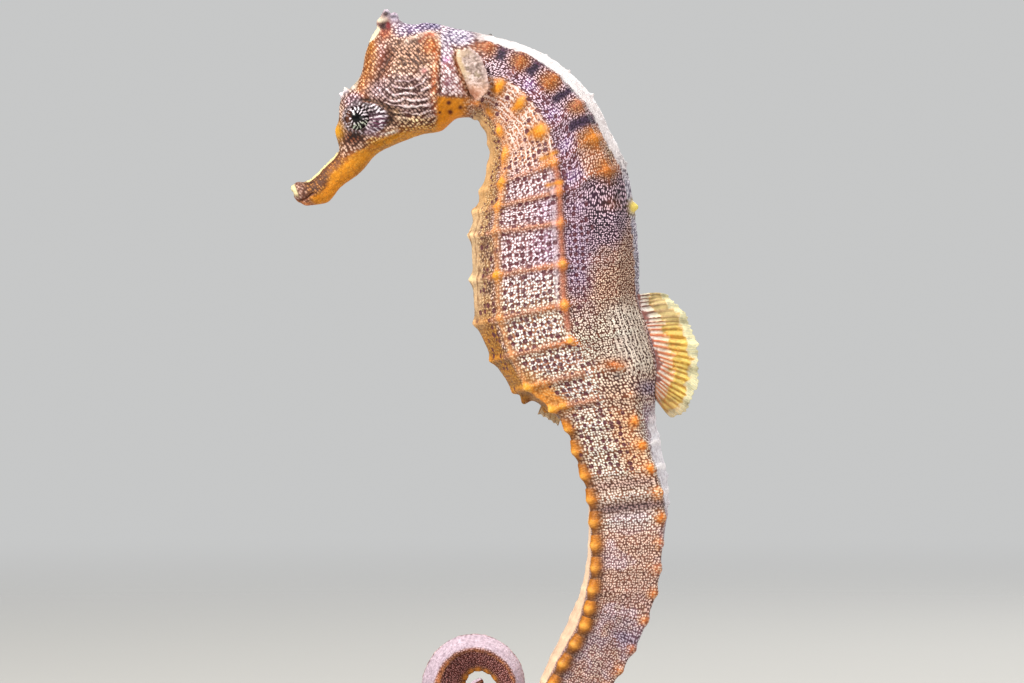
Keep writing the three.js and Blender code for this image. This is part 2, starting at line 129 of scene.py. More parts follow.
def fbm(p, seed=0, octaves=3):
    out, amp = 0, 1.0
    for k in range(octaves):
        out = out + amp * vnoise(p * 2.0**k, seed + 17 * k)
        amp *= 0.5
    return out / (2 - 2.0 ** (1 - octaves))


# ------------------------------------------------- the body's axis, as in CAD
R_SNOUT, R_CURL, R_TIP = -10.0, 19.0, 45.4
RING_TOP, RING_TIP, SIDE_SHIFT = 3.52, 2.02, 6.0
STATIONS = np.array([
    [-10, -37.12, 111.42, -36.0, 108.88, 1.45], [-9.6, -36.15, 111.86, -34.72, 108.53, 1.7],
    [-9, -34.57, 112.13, -32.32, 108.65, 1.75], [-8, -32.25, 114.2, -29.85, 111.2, 1.5],
    [-7, -30.15, 116.6, -26.85, 113.45, 1.95], [-6.2, -30.38, 118.55, -24.45, 116.15, 2.9],
    [-5.5, -30.15, 121.25, -21.9, 117.42, 3.7], [-4.7, -29.7, 124.55, -19.35, 118.18, 4.3],
    [-4, -27.0, 127.7, -17.4, 118.62, 4.75], [-3.3, -26.1, 131.45, -15.75, 119.0, 5.05],
    [-2.6, -24.45, 134.6, -14.55, 119.6, 5.15], [-2, -20.7, 135.65, -13.65, 120.5, 5.1],
    [-1.3, -16.5, 135.8, -12.75, 121.32, 4.9], [-0.6, -12.75, 134.98, -11.78, 121.62, 4.8],
    [0, -9.3, 134.3, -10.5, 121.62, 4.9], [1, -3.15, 132.88, -8.85, 120.95, 5.5],
    [2, 2.4, 130.1, -7.72, 118.1, 6.2], [3, 7.65, 124.55, -7.5, 115.4, 6.8],
    [4, 10.35, 119.45, -8.32, 112.1, 7.2], [5, 12.82, 114.05, -9.22, 108.65, 7.5],
    [6, 14.18, 106.55, -10.2, 104.9, 7.7], [7, 14.7, 100.55, -10.05, 98.15, 7.8],
    [8, 14.85, 94.85, -9.6, 91.4, 7.7], [9, 16.5, 89.75, -7.2, 85.7, 7.3],
    [10, 17.7, 84.95, -3.9, 80.9, 6.7], [11, 17.4, 80.45, 0.75, 78.12, 6.0],
    [12, 17.32, 76.55, 4.05, 75.05, 5.45], [13, 18.0, 72.95, 5.32, 71.6, 5.15],
    [15, 19.2, 65.75, 7.57, 64.4, 4.8], [17, 18.68, 58.03, 7.57, 57.5, 4.5],
    [19, 17.47, 50.45, 6.3, 50.98, 4.2], [20, 16.12, 47.0, 5.18, 47.75, 4.1]])
CURL_R = [19, 22, 25, 28, 31, 34, 37, 41, 47]
CURL_DEG = [106.8, 119.8, 117.2, 171.8, 226.1, 280.8, 369.4, 484, 775]
TAIL_R = [19, 21, 24, 27, 30, 33, 37, 41, 45.4]
TAIL_DEPTH = [5.15, 4.65, 4.35, 4.0, 3.45, 2.8, 2.1, 1.45, 0.55]
TAIL_WIDTH = [4.2, 4.0, 3.65, 3.25, 2.8, 2.35, 1.9, 1.3, 0.5]
ROLL_R = [-10, 8, 10, 12.5, 14.5, 17, 19, 21, 24, 27, 30, 34, 38, 45.4]
ROLL_DEG = [0, 0, -4, -11, -9, 0, 9, 17, 13, 0, -14, -30, -34, -20]
SEC_R = [-10, -7, -5, -2, 0, 2, 8, 12, 16, 47]
SEC_A = np.array([[0, .038, .146, .309, .5, .691, .854, .962, 1], [0, .038, .146, .309, .5, .691, .854, .962, 1],
                  [0, .02, .10, .24, .42, .62, .80, .93, 1], [0, .03, .10, .26, .45, .66, .83, .95, 1],
                  [0, .03, .12, .30, .50, .68, .84, .95, 1], [0, .05, .13, .28, .46, .66, .85, .95, 1],
                  [0, .05, .13, .28, .46, .66, .85, .95, 1], [0, .06, .18, .34, .52, .72, .92, .975, 1],
                  [0, .01, .05, .26, .50, .75, .95, .99, 1], [0, .01, .05, .26, .50, .75, .95, .99, 1]])
SEC_B = np.array([[0, .383, .707, .924, 1, .924, .707, .383, 0], [0, .383, .707, .924, 1, .924, .707, .383, 0],
                  [0, .36, .68, .91, 1, .96, .78, .45, 0], [0, .22, .48, .80, 1, .98, .80, .48, 0],
                  [0, .22, .52, .84, 1, .94, .70, .40, 0], [0, .28, .60, .80, 1, .88, .66, .34, 0],
                  [0, .28, .60, .80, 1, .88, .66, .34, 0], [0, .42, .84, .97, 1, .98, .90, .48, 0],
                  [0, .46, .92, .95, .98, .97, .92, .46, 0], [0, .46, .92, .95, .98, .97, .92, .46, 0]])


def hermite(xs, ys, x):
    xs, ys, x = (np.asarray(k, float) for k in (xs, ys, x))
    d = np.diff(xs)
    s = np.diff(ys) / d
    m = np.empty(len(xs))
    m[0], m[-1] = s[0], s[-1]
    m[1:-1] = (s[:-1] * d[1:] + s[1:] * d[:-1]) / (d[:-1] + d[1:])
    i = np.clip(np.searchsorted(xs, x, side="right") - 1, 0, len(xs) - 2)
    h = d[i]
    t = (x - xs[i]) / h
    return ((1 + 2 * t) * (1 - t) ** 2 * ys[i] + t * (1 - t) ** 2 * h * m[i]
            + t * t * (3 - 2 * t) * ys[i + 1] + t * t * (t - 1) * h * m[i + 1])


def curl_axis():
    k = [float(hermite(STATIONS[:, 0], STATIONS[:, c], R_CURL)) for c in (1, 2, 3, 4)]
    r = np.arange(0, int(round((47 - R_CURL) / 0.05)) + 1) * 0.05 + R_CURL
    h = np.radians(hermite(CURL_R, CURL_DEG, r))
    ln = RING_TOP + (RING_TIP - RING_TOP) * (r - R_CURL) / (47 - R_CURL)
    dx, dz = np.cos(h) * ln, -np.sin(h) * ln
    x = (k[0] + k[2]) / 2 + np.concatenate([[0], np.cumsum((dx[1:] + dx[:-1]) / 2 * 0.05)])
    z = (k[1] + k[3]) / 2 + np.concatenate([[0], np.cumsum((dz[1:] + dz[:-1]) / 2 * 0.05)])
    return r, x, z


AX_R, AX_X, AX_Z = curl_axis()


def frame_at(r):
    """Centre, belly and left unit vectors, half depth and half width at ring r."""
    r = np.atleast_1d(np.asarray(r, float))
    rb = np.minimum(r, R_CURL)
    dx, dz, bx, bz, w = [hermite(STATIONS[:, 0], STATIONS[:, k], rb) for k in (1, 2, 3, 4, 5)]
    depth = np.hypot(bx - dx, bz - dz) / 2
    vx, vz = (bx - dx) / 2 / depth, (bz - dz) / 2 / depth
    cx, cz = (dx + bx) / 2, (dz + bz) / 2
    depth = depth + np.where(r > 15, (TAIL_DEPTH[0] - 5.591) * sstep(r, 15, 19), 0)
    h = np.radians(hermite(CURL_R, CURL_DEG, np.maximum(r, R_CURL)))
    k = sstep(r, R_CURL, R_CURL + 2)
    tvx, tvz = -np.sin(h) * k + vx * (1 - k), -np.cos(h) * k + vz * (1 - k)
    n = np.hypot(tvx, tvz)
    tail = r > R_CURL
    vx, vz = np.where(tail, tvx / n, vx), np.where(tail, tvz / n, vz)
    cx = np.where(tail, np.interp(r, AX_R, AX_X), cx)
    cz = np.where(tail, np.interp(r, AX_R, AX_Z), cz)
    depth = np.where(tail, hermite(TAIL_R, TAIL_DEPTH, np.maximum(r, R_CURL)), depth)
    width = np.where(tail, hermite(TAIL_R, TAIL_WIDTH, np.maximum(r, R_CURL)), w)
    cy = -SIDE_SHIFT * sstep(r, 22, 46)
    roll = np.radians(np.interp(r, ROLL_R, ROLL_DEG))
    c, s = np.cos(roll), np.sin(roll)
    centre = np.stack([cx, cy, cz], -1)
    belly = np.stack([vx * c, -s, vz * c], -1)
    left = np.stack([-vx * s, -c, -vz * s], -1)
    return centre, belly, left, depth, width


def outline(r, q):
    """Section outline at rings r (n,) and longitudes q (m,) from 0 to 16: shares of
    depth and half width, (n, m) each. A closed smooth curve through 16 points."""
    a = np.stack([np.interp(r, SEC_R, SEC_A[:, j]) for j in range(9)], -1)
    b = np.stack([np.interp(r, SEC_R, SEC_B[:, j]) for j in range(9)], -1)
    a16 = np.concatenate([a, a[:, 7:0:-1]], 1)
    b16 = np.concatenate([b, -b[:, 7:0:-1]], 1)
    i = np.floor(q).astype(int) % 16
    t = q - np.floor(q)
    out = []
    for k in (a16, b16):
        p0, p1, p2, p3 = (k[:, (i + d) % 16] for d in (-1, 0, 1, 2))
        out.append(0.5 * (2 * p1 + (p2 - p0) * t + (2 * p0 - 5 * p1 + 4 * p2 - p3) * t**2
                          + (3 * p1 - p0 - 3 * p2 + p3) * t**3))
    return out


# ------------------------------------------------------------------ the skin
def skin_rows():
    """Ring coordinates of the skin's rows, closer together where detail is fine."""
    r = np.linspace(R_SNOUT, R_TIP, 12001)
    c = frame_at(r)[0]
    step = np.full_like(r, 0.20)                                   # mm between rows
    step = np.where(r < 0.6, 0.13, step)
    step = np.where((r > -3.1) & (r < -1.5), 0.085, step)
    step = np.where(r > 11.5, 0.18, step)
    step = np.where(r > 30, 0.16, step)
    dr = np.gradient(r)
    d, v = frame_at(r)[3], frame_at(r)[1]
    back = c - v * d[:, None]
    ds = np.linalg.norm(np.diff((c + back) / 2, axis=0), axis=1)   # pace kept towards the back
    ds = np.concatenate([[0], ds])
    n = np.cumsum(ds / step)
    rows = np.interp(np.arange(0, int(n[-1])), n, r)
    rows[-1] = R_TIP
    return rows


M = 352
rows = skin_rows()
q16 = np.arange(M) * 16.0 / M
centre, belly, left, depth, width = frame_at(rows)
A, B = outline(rows, q16)
P = (centre[:, None] + belly[:, None] * (depth[:, None] * (2 * A - 1))[..., None]
     + left[:, None] * (width[:, None] * B)[..., None])
nR = len(rows)

# longitude from the back (0) to the belly (8) on either side, and which side
Q = np.where(q16 <= 8, q16, 16 - q16)[None].repeat(nR, 0)
SIDE = np.where((q16 > 0) & (q16 < 8), 1.0, np.where(q16 > 8, -1.0, 0.0))[None].repeat(nR, 0)  # +1 = left
R = rows[:, None].repeat(M, 1)

# distance round the section from the back midline, in mm
seg = np.linalg.norm(np.roll(P, -1, 1) - P, axis=2)
T = np.concatenate([np.zeros((nR, 1)), np.cumsum(seg[:, : M // 2], 1)], 1)   # back to belly, left side
THALF = T
T = np.concatenate([T, T[:, M // 2 - 1:0:-1]], 1)


def t_at(q):
    """Distance round the section at longitude q (a number, or one per row)."""
    x = np.broadcast_to(np.asarray(q, float), (nR,)) * M / 16
    i = np.clip(np.floor(x).astype(int), 0, M // 2 - 1)
    f = x - i
    k = np.arange(nR)
    return (THALF[k, i] * (1 - f) + THALF[k, i + 1] * f)[:, None]


T4 = t_at(4)
RING = np.gradient(P, axis=0)
RING = np.linalg.norm(RING, axis=2) / np.gradient(rows)[:, None]              # mm per ring here


def normals(p):
    du = np.gradient(p, axis=0)
    dv = (np.roll(p, -1, 1) - np.roll(p, 1, 1)) / 2
    n = np.cross(du, dv)
    n /= np.linalg.norm(n, axis=2, keepdims=True) + 1e-12
    out = p - p.mean(1, keepdims=True)
    if (n * out).sum() < 0:
        n = -n
    return n


N0 = normals(P)
U = P[..., 0] / UNIT + GX0          # side grid coordinates
W = (GZ0 - P[..., 2]) / UNIT
FLAT = sstep(np.abs(N0[..., 1]), 0.12, 0.5)   # 1 where the surface faces sideways
HEAD = 1 - sstep(R, -0.9, 0.4)
TRUNK = sstep(R, -0.1, 0.5) * (1 - sstep(R, 11.0, 11.8))
TAIL = sstep(R, 11.0, 11.8)
SIZE = np.minimum(1.0, depth[:, None] / 4.6) * np.ones_like(R)
n1 = fbm(P * 0.55, 3)
n2 = fbm(P * 1.6, 5)
n3 = vnoise(P * 4.5, 8)

# the bony rings: where each one lies along the body
RING_AT = [-12.0, 0.28, 1.27, 2.24, 3.22, 4.32, 5.25, 6.04, 7.0, 7.97, 8.94, 9.9, 10.95, 12.0, 47.0]
RING_NO = [-12.28, 0, 1, 2, 3, 4, 5, 6, 7, 8, 9, 10, 11, 12, 47]
LEAD = 0.20 * (1 - sstep(R, 2.6, 3.6)) * sstep(Q, 3.4, 4.2) * TRUNK + 0.27 * (1 - sstep(Q, 2.6, 3.6)) * sstep(R, 2.3, 3.3) * (1 - sstep(R, 5.2, 6.0))
PH = np.interp(R + LEAD - 0.05 * np.clip(Q - 4, 0, 2.5) * TRUNK, RING_AT, RING_NO)
NEAR = np.round(PH)
PACE = RING / np.maximum(np.gradient(np.interp(rows, RING_AT, RING_NO), rows)[:, None], 0.3)
DR = (PH - NEAR) * PACE                                                       # mm to the nearest ring
GAP = (PH - np.floor(PH) - 0.5) * PACE                                        # mm to the middle of the plate
LAT_Q = np.interp(rows, [2.6, 4.0, 8.4, 8.95, 9.9, 10.9, 12.0], [4.22, 4.0, 4.0, 4.1, 2.7, 2.25, 2.0])
lr = {0: T, 2: T - t_at(2), 4: T - t_at(LAT_Q), 6: T - t_at(6), 8: t_at(8) - T}


def per_ring_value(table, default=0.0):
    """A value for each ring, read at the ring nearest each point."""
    out = np.full_like(R, default)
    for n, v_ in table.items():
        out[NEAR == n] = v_
    return out


def blob(u, v, su, sv=None, power=2.0):
    """Bump centred on the side grid point (u, v)."""
    sv = sv or su
    return np.exp(-(((U - u) / su) ** 2 + ((W - v) / sv) ** 2) ** (power / 2))


def stroke(pts, w, power=2.0):
    """Bump along a line of side grid points."""
    best = np.full_like(R, 1e9)
    for (a, b), (c, d) in zip(pts[:-1], pts[1:]):
        ex, ey = c - a, d - b
        t = clamp01(((U - a) * ex + (W - b) * ey) / (ex * ex + ey * ey))
        best = np.minimum(best, np.hypot(U - a - t * ex, W - b - t * ey))
    return np.exp(-((best / w) ** power))


def knob(k, along, around, power=2.4, off=0.0, shift=0.0):
    d = np.sqrt(((DR - shift) / along) ** 2 + ((lr[k] - off) / around) ** 2)
    return np.exp(-(d**power))


# --- height of the bony rings, ridges and knobs
wob = 0.16 * n2
ringline = gauss(DR + wob, 0.50 * SIZE + 0.05)
ridge = {k: gauss(v_ + 0.12 * n2, 0.5 * SIZE + 0.05) for k, v_ in lr.items()}
LAT_H = per_ring_value({0: .25, 1: .34, 2: .38, 3: .38, 4: .40, 5: .30, 6: .34, 7: .48, 8: .50, 9: .50, 10: .48, 11: .2})
INF_H = per_ring_value({0: .15, 1: .22, 2: .26, 3: .26, 4: .28, 5: .30, 6: .34, 7: .46, 8: .36, 9: .36, 10: .45, 11: .5})
SUP_H = per_ring_value({0: .24, 1: .26, 2: .28, 3: .28, 4: .30, 5: .32, 6: .18, 7: .10, 8: .08, 9: .06, 10: .06, 11: .1})
h = np.zeros_like(R)
tr = TRUNK * (1 - sstep(R, 11.2, 11.6))
lower = sstep(PH, 3.3, 4.7)
h += tr * ringline * sstep(Q, 3.5, 4.1) * (0.12 + 0.20 * lower)
h += tr * ringline * (1 - sstep(Q, 3.5, 4.1)) * sstep(Q, 0.8, 1.6) * (0.16 - 0.09 * sstep(PH, 5, 6.2))
h += tr * ridge[4] * np.interp(R, [0, 3.6, 4.6, 8.2, 9.3, 10.5], [.06, .08, .26, .26, .08, .12])
h += tr * ridge[6] * (0.16 + 0.12 * lower)
h += tr * ridge[2] * np.interp(R, [0, 5, 6.5, 10], [.16, .16, .05, .03])
h += tr * knob(4, .80, 1.10, 2.4, off=0.45) * LAT_H * (1 - lower) + tr * knob(4, .85, .68) * LAT_H * lower
h += tr * knob(6, .80, .62) * INF_H
h += tr * knob(2, 1.35, 1.15) * SUP_H * 0.8
h += tr * knob(8, 1.15, .85) * (0.22 + 0.16 * lower)
h += tr * gauss(T, 1.7) ** 2 * (0.22 + 0.10 * n2) * (1 - sstep(R, 4.6, 5.6))
h += tr * gauss(T, 0.5) * (0.14 + 0.16 * n2) * sstep(R, 5.0, 5.6) * (1 - sstep(R, 7.8, 8.2))
h -= tr * gauss(T, 2.2) * band(R, 0.1, 2.2, 0.6) * 0.40
h -= HEAD * gauss(T, 1.8) * band(U, 402, 421, 3.0) * (W < 50) * 0.28
h -= tr * 0.15 * (1 - ringline) * np.maximum(gauss(Q - 3, .8) * 0.6, gauss(Q - 5, .8)) * (0.4 + 0.6 * lower)
tl = TAIL * SIZE
h += tl * ringline * 0.16 * (1 - 0.5 * sstep(R, 15.5, 17))
low6 = lr[6] + np.where(SIDE < 0, 0.95 * band(R, 15.8, 25.5, 0.8), 0.0)    # the far row lies further round
h += tl * (ridge[2] * 0.14 + gauss(low6, 0.6 * SIZE + 0.05) * 0.30)
h += tl * knob(2, .85 * SIZE + .1, .62 * SIZE + .1) * 0.30 * (1 - 0.75 * sstep(R, 23.0, 25.5))


def tail_knob(long_, wide, power=2.6):
    """A lump on the lower tail ridge: it rises slowly and ends steeply towards the tip."""
    d = DR + 0.25 * SIZE
    along = np.where(d < 0, 1.45, 0.85) * SIZE * long_ + 0.1
    return np.exp(-(((d / along) ** 2 + (low6 / (0.72 * SIZE * wide + 0.1)) ** 2) ** (power / 2)))


h += tl * tail_knob(1.25, 1.30) * 0.40 * (1 - 0.3 * sstep(R, 26, 30))
h += tl * 0.55 * gauss(Q - 8, 1.5) * band(R, 15.0, 26.0, 1.0)
h -= tl * 0.08 * (1 - ringline) * gauss(Q - 4, 1.6)
h += 0.045 * n2 + 0.02 * n3

# --- shape of the head
hd = HEAD * FLAT
orbit_e = np.hypot((U - 363) / 27.0, (W - 119.5) / 16.5)
h += hd * 0.42 * np.exp(-(orbit_e**5))                                                      # orbit
og = np.exp(-(((orbit_e - 1.10) * 16 / 2.3) ** 2)) * sstep(U - 0.4 * (W - 110), 362, 368) * (1 - sstep(W, 124, 130))
h -= hd * 0.42 * og
gill_e = np.hypot(((U - 409) * 0.93 + (W - 97) * 0.36) / 31.0, ((W - 97) * 0.93 - (U - 409) * 0.36) / 25.0)
h += hd * 0.72 * np.exp(-(gill_e**3.4))                                                     # gill cover
h -= hd * 0.62 * stroke([(390, 56), (384, 70), (376, 84), (371, 96)], 5.2)                  # hollow below the crown
h += hd * 0.30 * stroke([(374, 44), (370, 62), (365, 80), (361, 96)], 5.0)                  # brow
h += hd * 0.42 * stroke([(406, 44), (412, 41), (420, 38), (430, 35), (438, 39), (441, 48)], 3.0)
h += hd * 0.50 * blob(431, 48, 7.5, 9, 2.6)                                                 # nape knob
h -= hd * 0.26 * blob(413, 56, 15, 9)
h += hd * 0.28 * stroke([(437, 58), (436, 80), (435, 100), (438, 112)], 3.4)
h -= hd * 0.22 * stroke([(441.5, 62), (441.5, 92)], 1.8)
h -= FLAT * 0.62 * stroke([(456, 60), (460, 74), (466, 88), (471, 100)], 3.4)
h += hd * 0.22 * blob(449, 74, 6.0, 17)
h += hd * 0.26 * blob(425, 73, 3.2, 2.8, 2.6)
h += hd * 0.34 * blob(416, 121, 6, 4)
h -= hd * 0.22 * stroke([(375, 146), (388, 141), (398, 136)], 1.6)
# wavy ridges on the gill cover
warp = 4.2 * fbm(P * 0.50, 21, 2) + 2.3 * fbm(P * 1.35, 22, 2)
arc = np.hypot(U - 408, W - 60) + warp
cheek = np.exp(-(((U - 407 + 0.25 * (W - 97)) / 35) ** 4 + ((W - 99) / 24) ** 4))
cheek = cheek * sstep(W + 0.10 * (U - 400), 72, 86) * sstep(orbit_e, 1.08, 1.25)
cheek_line = sstep(np.cos(arc / 6.1 * 2 * np.pi) + 0.45 * vnoise(P * 2.6, 27) - 0.10, 0.0, 0.80)
cheek_line = cheek_line * sstep(vnoise(P * np.array([1.0, 1.0, 2.0]), 28) + 0.60 * sstep(U - 0.3 * (W - 100), 394, 416), -0.05, 0.22)
h += hd * cheek * 0.20 * (cheek_line - 0.45)
# streaks on the side of the crown
streak = sstep(np.cos(((U - 400) * 0.80 + (W - 55) * -0.60 + 1.6 * fbm(P * 1.2, 24, 2)) / 4.6 * 2 * np.pi), -0.2, 0.7)
upper = np.exp(-(((U - 409) / 24) ** 4 + ((W - 58) / 14) ** 4)) * hd
h += upper * 0.07 * (streak - 0.5)
# snout and lips
h += HEAD * 0.20 * gauss(R + 9.72, 0.20)
h -= HEAD * 0.10 * gauss(R + 9.15, 0.32)
h += HEAD * 0.20 * gauss(T, 0.32) * band(R, -9.25, -7.1, 0.12)
h += HEAD * 0.40 * np.exp(-(((U - 338) / 5) ** 2 + ((W - 130.5) / 6.5) ** 2)) * gauss(P[..., 1], 1.3)
h -= HEAD * 0.50 * gauss(R + 3.9, 1.10) * sstep(Q, 6.1, 7.5)
# mouth corner
h -= hd * 0.26 * stroke([(300, 201), (307, 198.5), (313, 194)], 1.3) * (R < -9.0)

D = N0 * h[..., None]


# --- spines and crown: pushed along their own directions
def push(at, direction, length, w, power=1.7, cup=0.0):
    at, direction = np.array(at, float), np.array(direction, float)
    direction /= np.linalg.norm(direction)
    rel = P - at
    rel = rel - (rel @ direction)[..., None] * direction
    near = np.linalg.norm(P - at, axis=2) < 4 * w + 1.4
    d = np.linalg.norm(rel, axis=2)
    k = np.exp(-(d / w) ** power) - cup * np.exp(-(d / (0.42 * w)) ** 2)
    k = k * near * ((N0 @ direction) > 0.0)
    return k[..., None] * direction * length, np.exp(-(d / w) ** power) * near * ((N0 @ direction) > 0.0)


g = lambda u, v, y=0.0: ((u - GX0) * UNIT, y, GZ0 - v * UNIT)
crown, tips, cups = np.zeros_like(R), np.zeros_like(R), np.zeros_like(R)
d_, k_ = push(g(390.5, 27), (-0.14, 0, 1), 1.50, 1.72, 2.2)
D += d_; crown = np.maximum(crown, k_)
for u_, v_, y_, dx_, dy_, dz_, ln_, w_ in ((384.8, 29.6, 0, -.84, 0, .54, .76, .52), (387.9, 26, .80, -.02, .34, 1, 1.66, .54),
                                          (387.9, 26, -.80, -.02, -.34, 1, 1.66, .54), (395.8, 25, .75, .20, .36, .95, 1.06, .50),
                                          (395.8, 25, -.75, .20, -.36, .95, 1.06, .50)):
    d_, k_ = push(g(u_, v_, y_), (dx_, dy_, dz_), ln_, w_, 3.2 if y_ else 2.6, 0.50 if y_ else 0.15)
    D += d_
    tips = np.maximum(tips, k_)
    cups = np.maximum(cups, sstep(k_, 0.86, 0.97))
for s in (-1, 1):
    for u_, v_, y_, dx_, dy_, dz_, ln_, w_ in ((342.5, 96, 1.2, -.85, .35, .65, .85, .38), (347, 92, 1.4, -.5, .4, .95, .95, .38),
                                              (355, 91, 1.7, -.3, .5, .9, .45, .28), (416, 124, 3.4, -.1, .9, -.5, .45, .42)):
        d_, k_ = push(g(u_, v_, s * y_), (dx_, s * dy_, dz_), ln_, w_)
        D += d_
        tips = np.maximum(tips, k_ * (u_ < 400))
for u_, v_, dx_, dz_, ln_, w_ in ((567, 73, .75, .75, .40, .26), (591, 96, .8, .45, .55, .30), (545, 58, .5, .85, .25, .3),
                                  (620, 165, .8, .2, .35, .3), (633, 207, 1, .1, .62, .62)):
    D += push(g(u_, v_), (dx_, 0, dz_), ln_, w_, 3.0 if w_ > 0.4 else 1.7)[0]
D += push(g(491, 36.5), (0.1, 0, 1), 0.34, 0.36, 2.6)[0]
for r_, a_ in ((12.7, .30), (14.4, .38), (15.5, .34)):
    c_, b_, l_, dp_, w_ = [x[0] for x in frame_at(r_)]
    D += push(c_ - b_ * dp_, -b_, a_, .45)[0]
D += push(g(526, 397), (-0.45, 0, -1), 1.15, 0.75, 2.4)[0]         # vent

SKIN = P + D

def eye_dashes(dx, dz):
    """Broken pale dashes pointing at the pupil; dx, dz in mm in the side view."""
    rho = np.hypot(dx, dz)
    turn0 = np.arctan2(-dz, dx)
    wob_ = fbm(np.stack([dx, dz, 0 * dx], -1) * 1.7, 81, 2)
    out = np.zeros(rho.shape)
    for r_lo, r_hi, count, seed in ((0.74, 1.14, 11, 82), (1.24, 1.74, 17, 83), (1.86, 2.38, 23, 84), (2.50, 3.1, 30, 85)):
        turn = count * turn0 / (2 * math.pi) + 0.42 * wob_ + 0.21 * seed
        c0 = np.floor(turn)
        rnd = [hash3(np.mod(c0, count).astype(int), np.zeros(c0.shape, int), np.zeros(c0.shape, int), seed + j) for j in (0, 10, 20)]
        off = turn - c0 - 0.5 + 0.20 * (rnd[0] - 0.5)
        lo, hi = r_lo + 0.26 * (rnd[1] - 0.5), r_hi + 0.26 * (rnd[2] - 0.5)
        out = np.maximum(out, (1 - sstep(np.abs(off), 0.10, 0.24)) * band(rho, lo, hi, 0.06) * (rnd[1] > 0.12))
    return out


# --- eye sockets: the skin turns in behind a lid round each eyeball
EYE_R, EYE_X, EYE_Y, EYE_Z = 2.05, -27.3, 2.75, 121.35
RIM = 1.72
for s in (-1, 1):
    rho = np.hypot(SKIN[..., 0] - EYE_X, SKIN[..., 2] - EYE_Z)
    on = (SKIN[..., 1] * s > 1.0) & (rho < 3.2)
    y = SKIN[..., 1] * s
    lid = EYE_Y + math.sqrt(EYE_R**2 - RIM**2) + 0.07
    k = 1 - sstep(rho, RIM, 2.75)
    y = y * (1 - k) + (lid - 0.30 * (rho - RIM)) * k
    y = y + 0.10 * gauss(rho - (RIM + 0.22), 0.18)
    inside = 1 - sstep(rho, RIM - 0.18, RIM + 0.02)
    y = y * (1 - inside) + 0.95 * inside
    SKIN[..., 1] = np.where(on, y * s, SKIN[..., 1])


def blur(a, n):
    k = np.ones(2 * n + 1) / (2 * n + 1)
    out = np.apply_along_axis(lambda c: np.convolve(np.pad(c, n, mode="edge"), k, "valid"), 0, a)
    return np.apply_along_axis(lambda c: np.convolve(np.pad(c, n, mode="wrap"), k, "valid"), 1, out)


# how far each point sits below its blurred surroundings: drives painted shade in hollows and painted light on crests
CAVITY_SHADE = h - blur(blur(h, 4), 4)

# ------------------------------------------------------------ skin's colours
ground = np.ones(R.shape + (3,)) * C(138, 88, 68)
bead = np.ones(R.shape + (3,)) * C(228, 206, 208)
dots = np.zeros_like(R)        # dark dots, 0 to 1
amount = np.ones_like(R)       # how strongly the pale beads show
beadsize = np.ones_like(R) * 0.5
lines = np.zeros_like(R)       # pale lines that run along the body


def paint(mask, g_=None, b_=None, d_=None, s_=None, z_=None, l_=None):
    global ground, bead, dots, amount, beadsize, lines
    m = clamp01(mask)
    if g_ is not None:
        ground = ground * (1 - m[..., None]) + np.asarray(g_) * m[..., None]
    if b_ is not None:
        bead = bead * (1 - m[..., None]) + np.asarray(b_) * m[..., None]
    if d_ is not None:
        dots = dots * (1 - m) + d_ * m
    if s_ is not None:
        amount = amount * (1 - m) + s_ * m
    if z_ is not None:
        beadsize = beadsize * (1 - m) + z_ * m
    if l_ is not None:
        lines = lines * (1 - m) + l_ * m


WHITE, LILAC = C(244, 236, 242), C(226, 204, 232)
TAN, ORANGE, AMBER = C(192, 124, 84), C(222, 136, 44), C(238, 158, 40)
RUST, INK = C(168, 92, 44), C(30, 16, 40)
QN = Q + 0.28 * n1
RN = R + 0.14 * n1

US, WS = SKIN[..., 0] / UNIT + GX0, (GZ0 - SKIN[..., 2]) / UNIT    # grid place of the finished surface


def ell(u, v, su, sv, power=2.6):
    return np.exp(-(((US - u) / su) ** 2 + ((WS - v) / sv) ** 2) ** (power / 2))


# trunk, by zones from the back to the belly
t_ = TRUNK
paint(t_, C(120, 74, 66), C(236, 212, 214))
zone_d = band(QN + 0.15 * n2, 0.6, 4.0, 0.25)
paint(t_ * zone_d * (1 - sstep(RN, 4.4, 5.4)), C(72, 28, 44), C(255, 224, 238), z_=0.6)
paint(t_ * zone_d * band(RN, 2.6, 4.9, 0.4), C(96, 44, 50), z_=0.85)
paint(t_ * zone_d * band(RN, 2.4, 4.2, 0.5) * sstep(QN, 1.6, 2.6), C(80, 34, 50), C(252, 222, 240))
paint(t_ * zone_d * band(RN, 3.8, 5.1, 0.3) * (1 - sstep(QN, 2.9, 3.5)), C(150, 88, 64), C(255, 216, 202))
paint(t_ * zone_d * band(RN, 5.1, 6.75, 0.16), C(56, 18, 48), C(246, 214, 234), z_=0.28)
blot = sstep(fbm(P * 0.75, 33, 2), 0.0, 0.3)
paint(t_ * zone_d * band(RN, 5.2, 6.7, 0.2) * blot * 0.8, C(38, 14, 40), z_=0.25)
paint(t_ * zone_d * sstep(RN + 0.42 * (2.4 - Q) + 0.25 * n1, 6.3, 7.5), C(114, 58, 36), C(254, 216, 192), z_=0.5)
paint(t_ * zone_d * sstep(RN, 7.8, 8.6), C(104, 54, 34), C(255, 236, 218), z_=0.8)
paint(t_ * zone_d * band(RN, 8.2, 10.2, 0.3) * (1 - sstep(QN, 2.2, 3.0)), C(74, 36, 24), C(255, 236, 222), l_=0.85, s_=0.85)
paint(t_ * sstep(RN, 10.0, 10.8) * (1 - sstep(QN, 3.4, 4.4)), C(112, 64, 52), C(238, 208, 182))
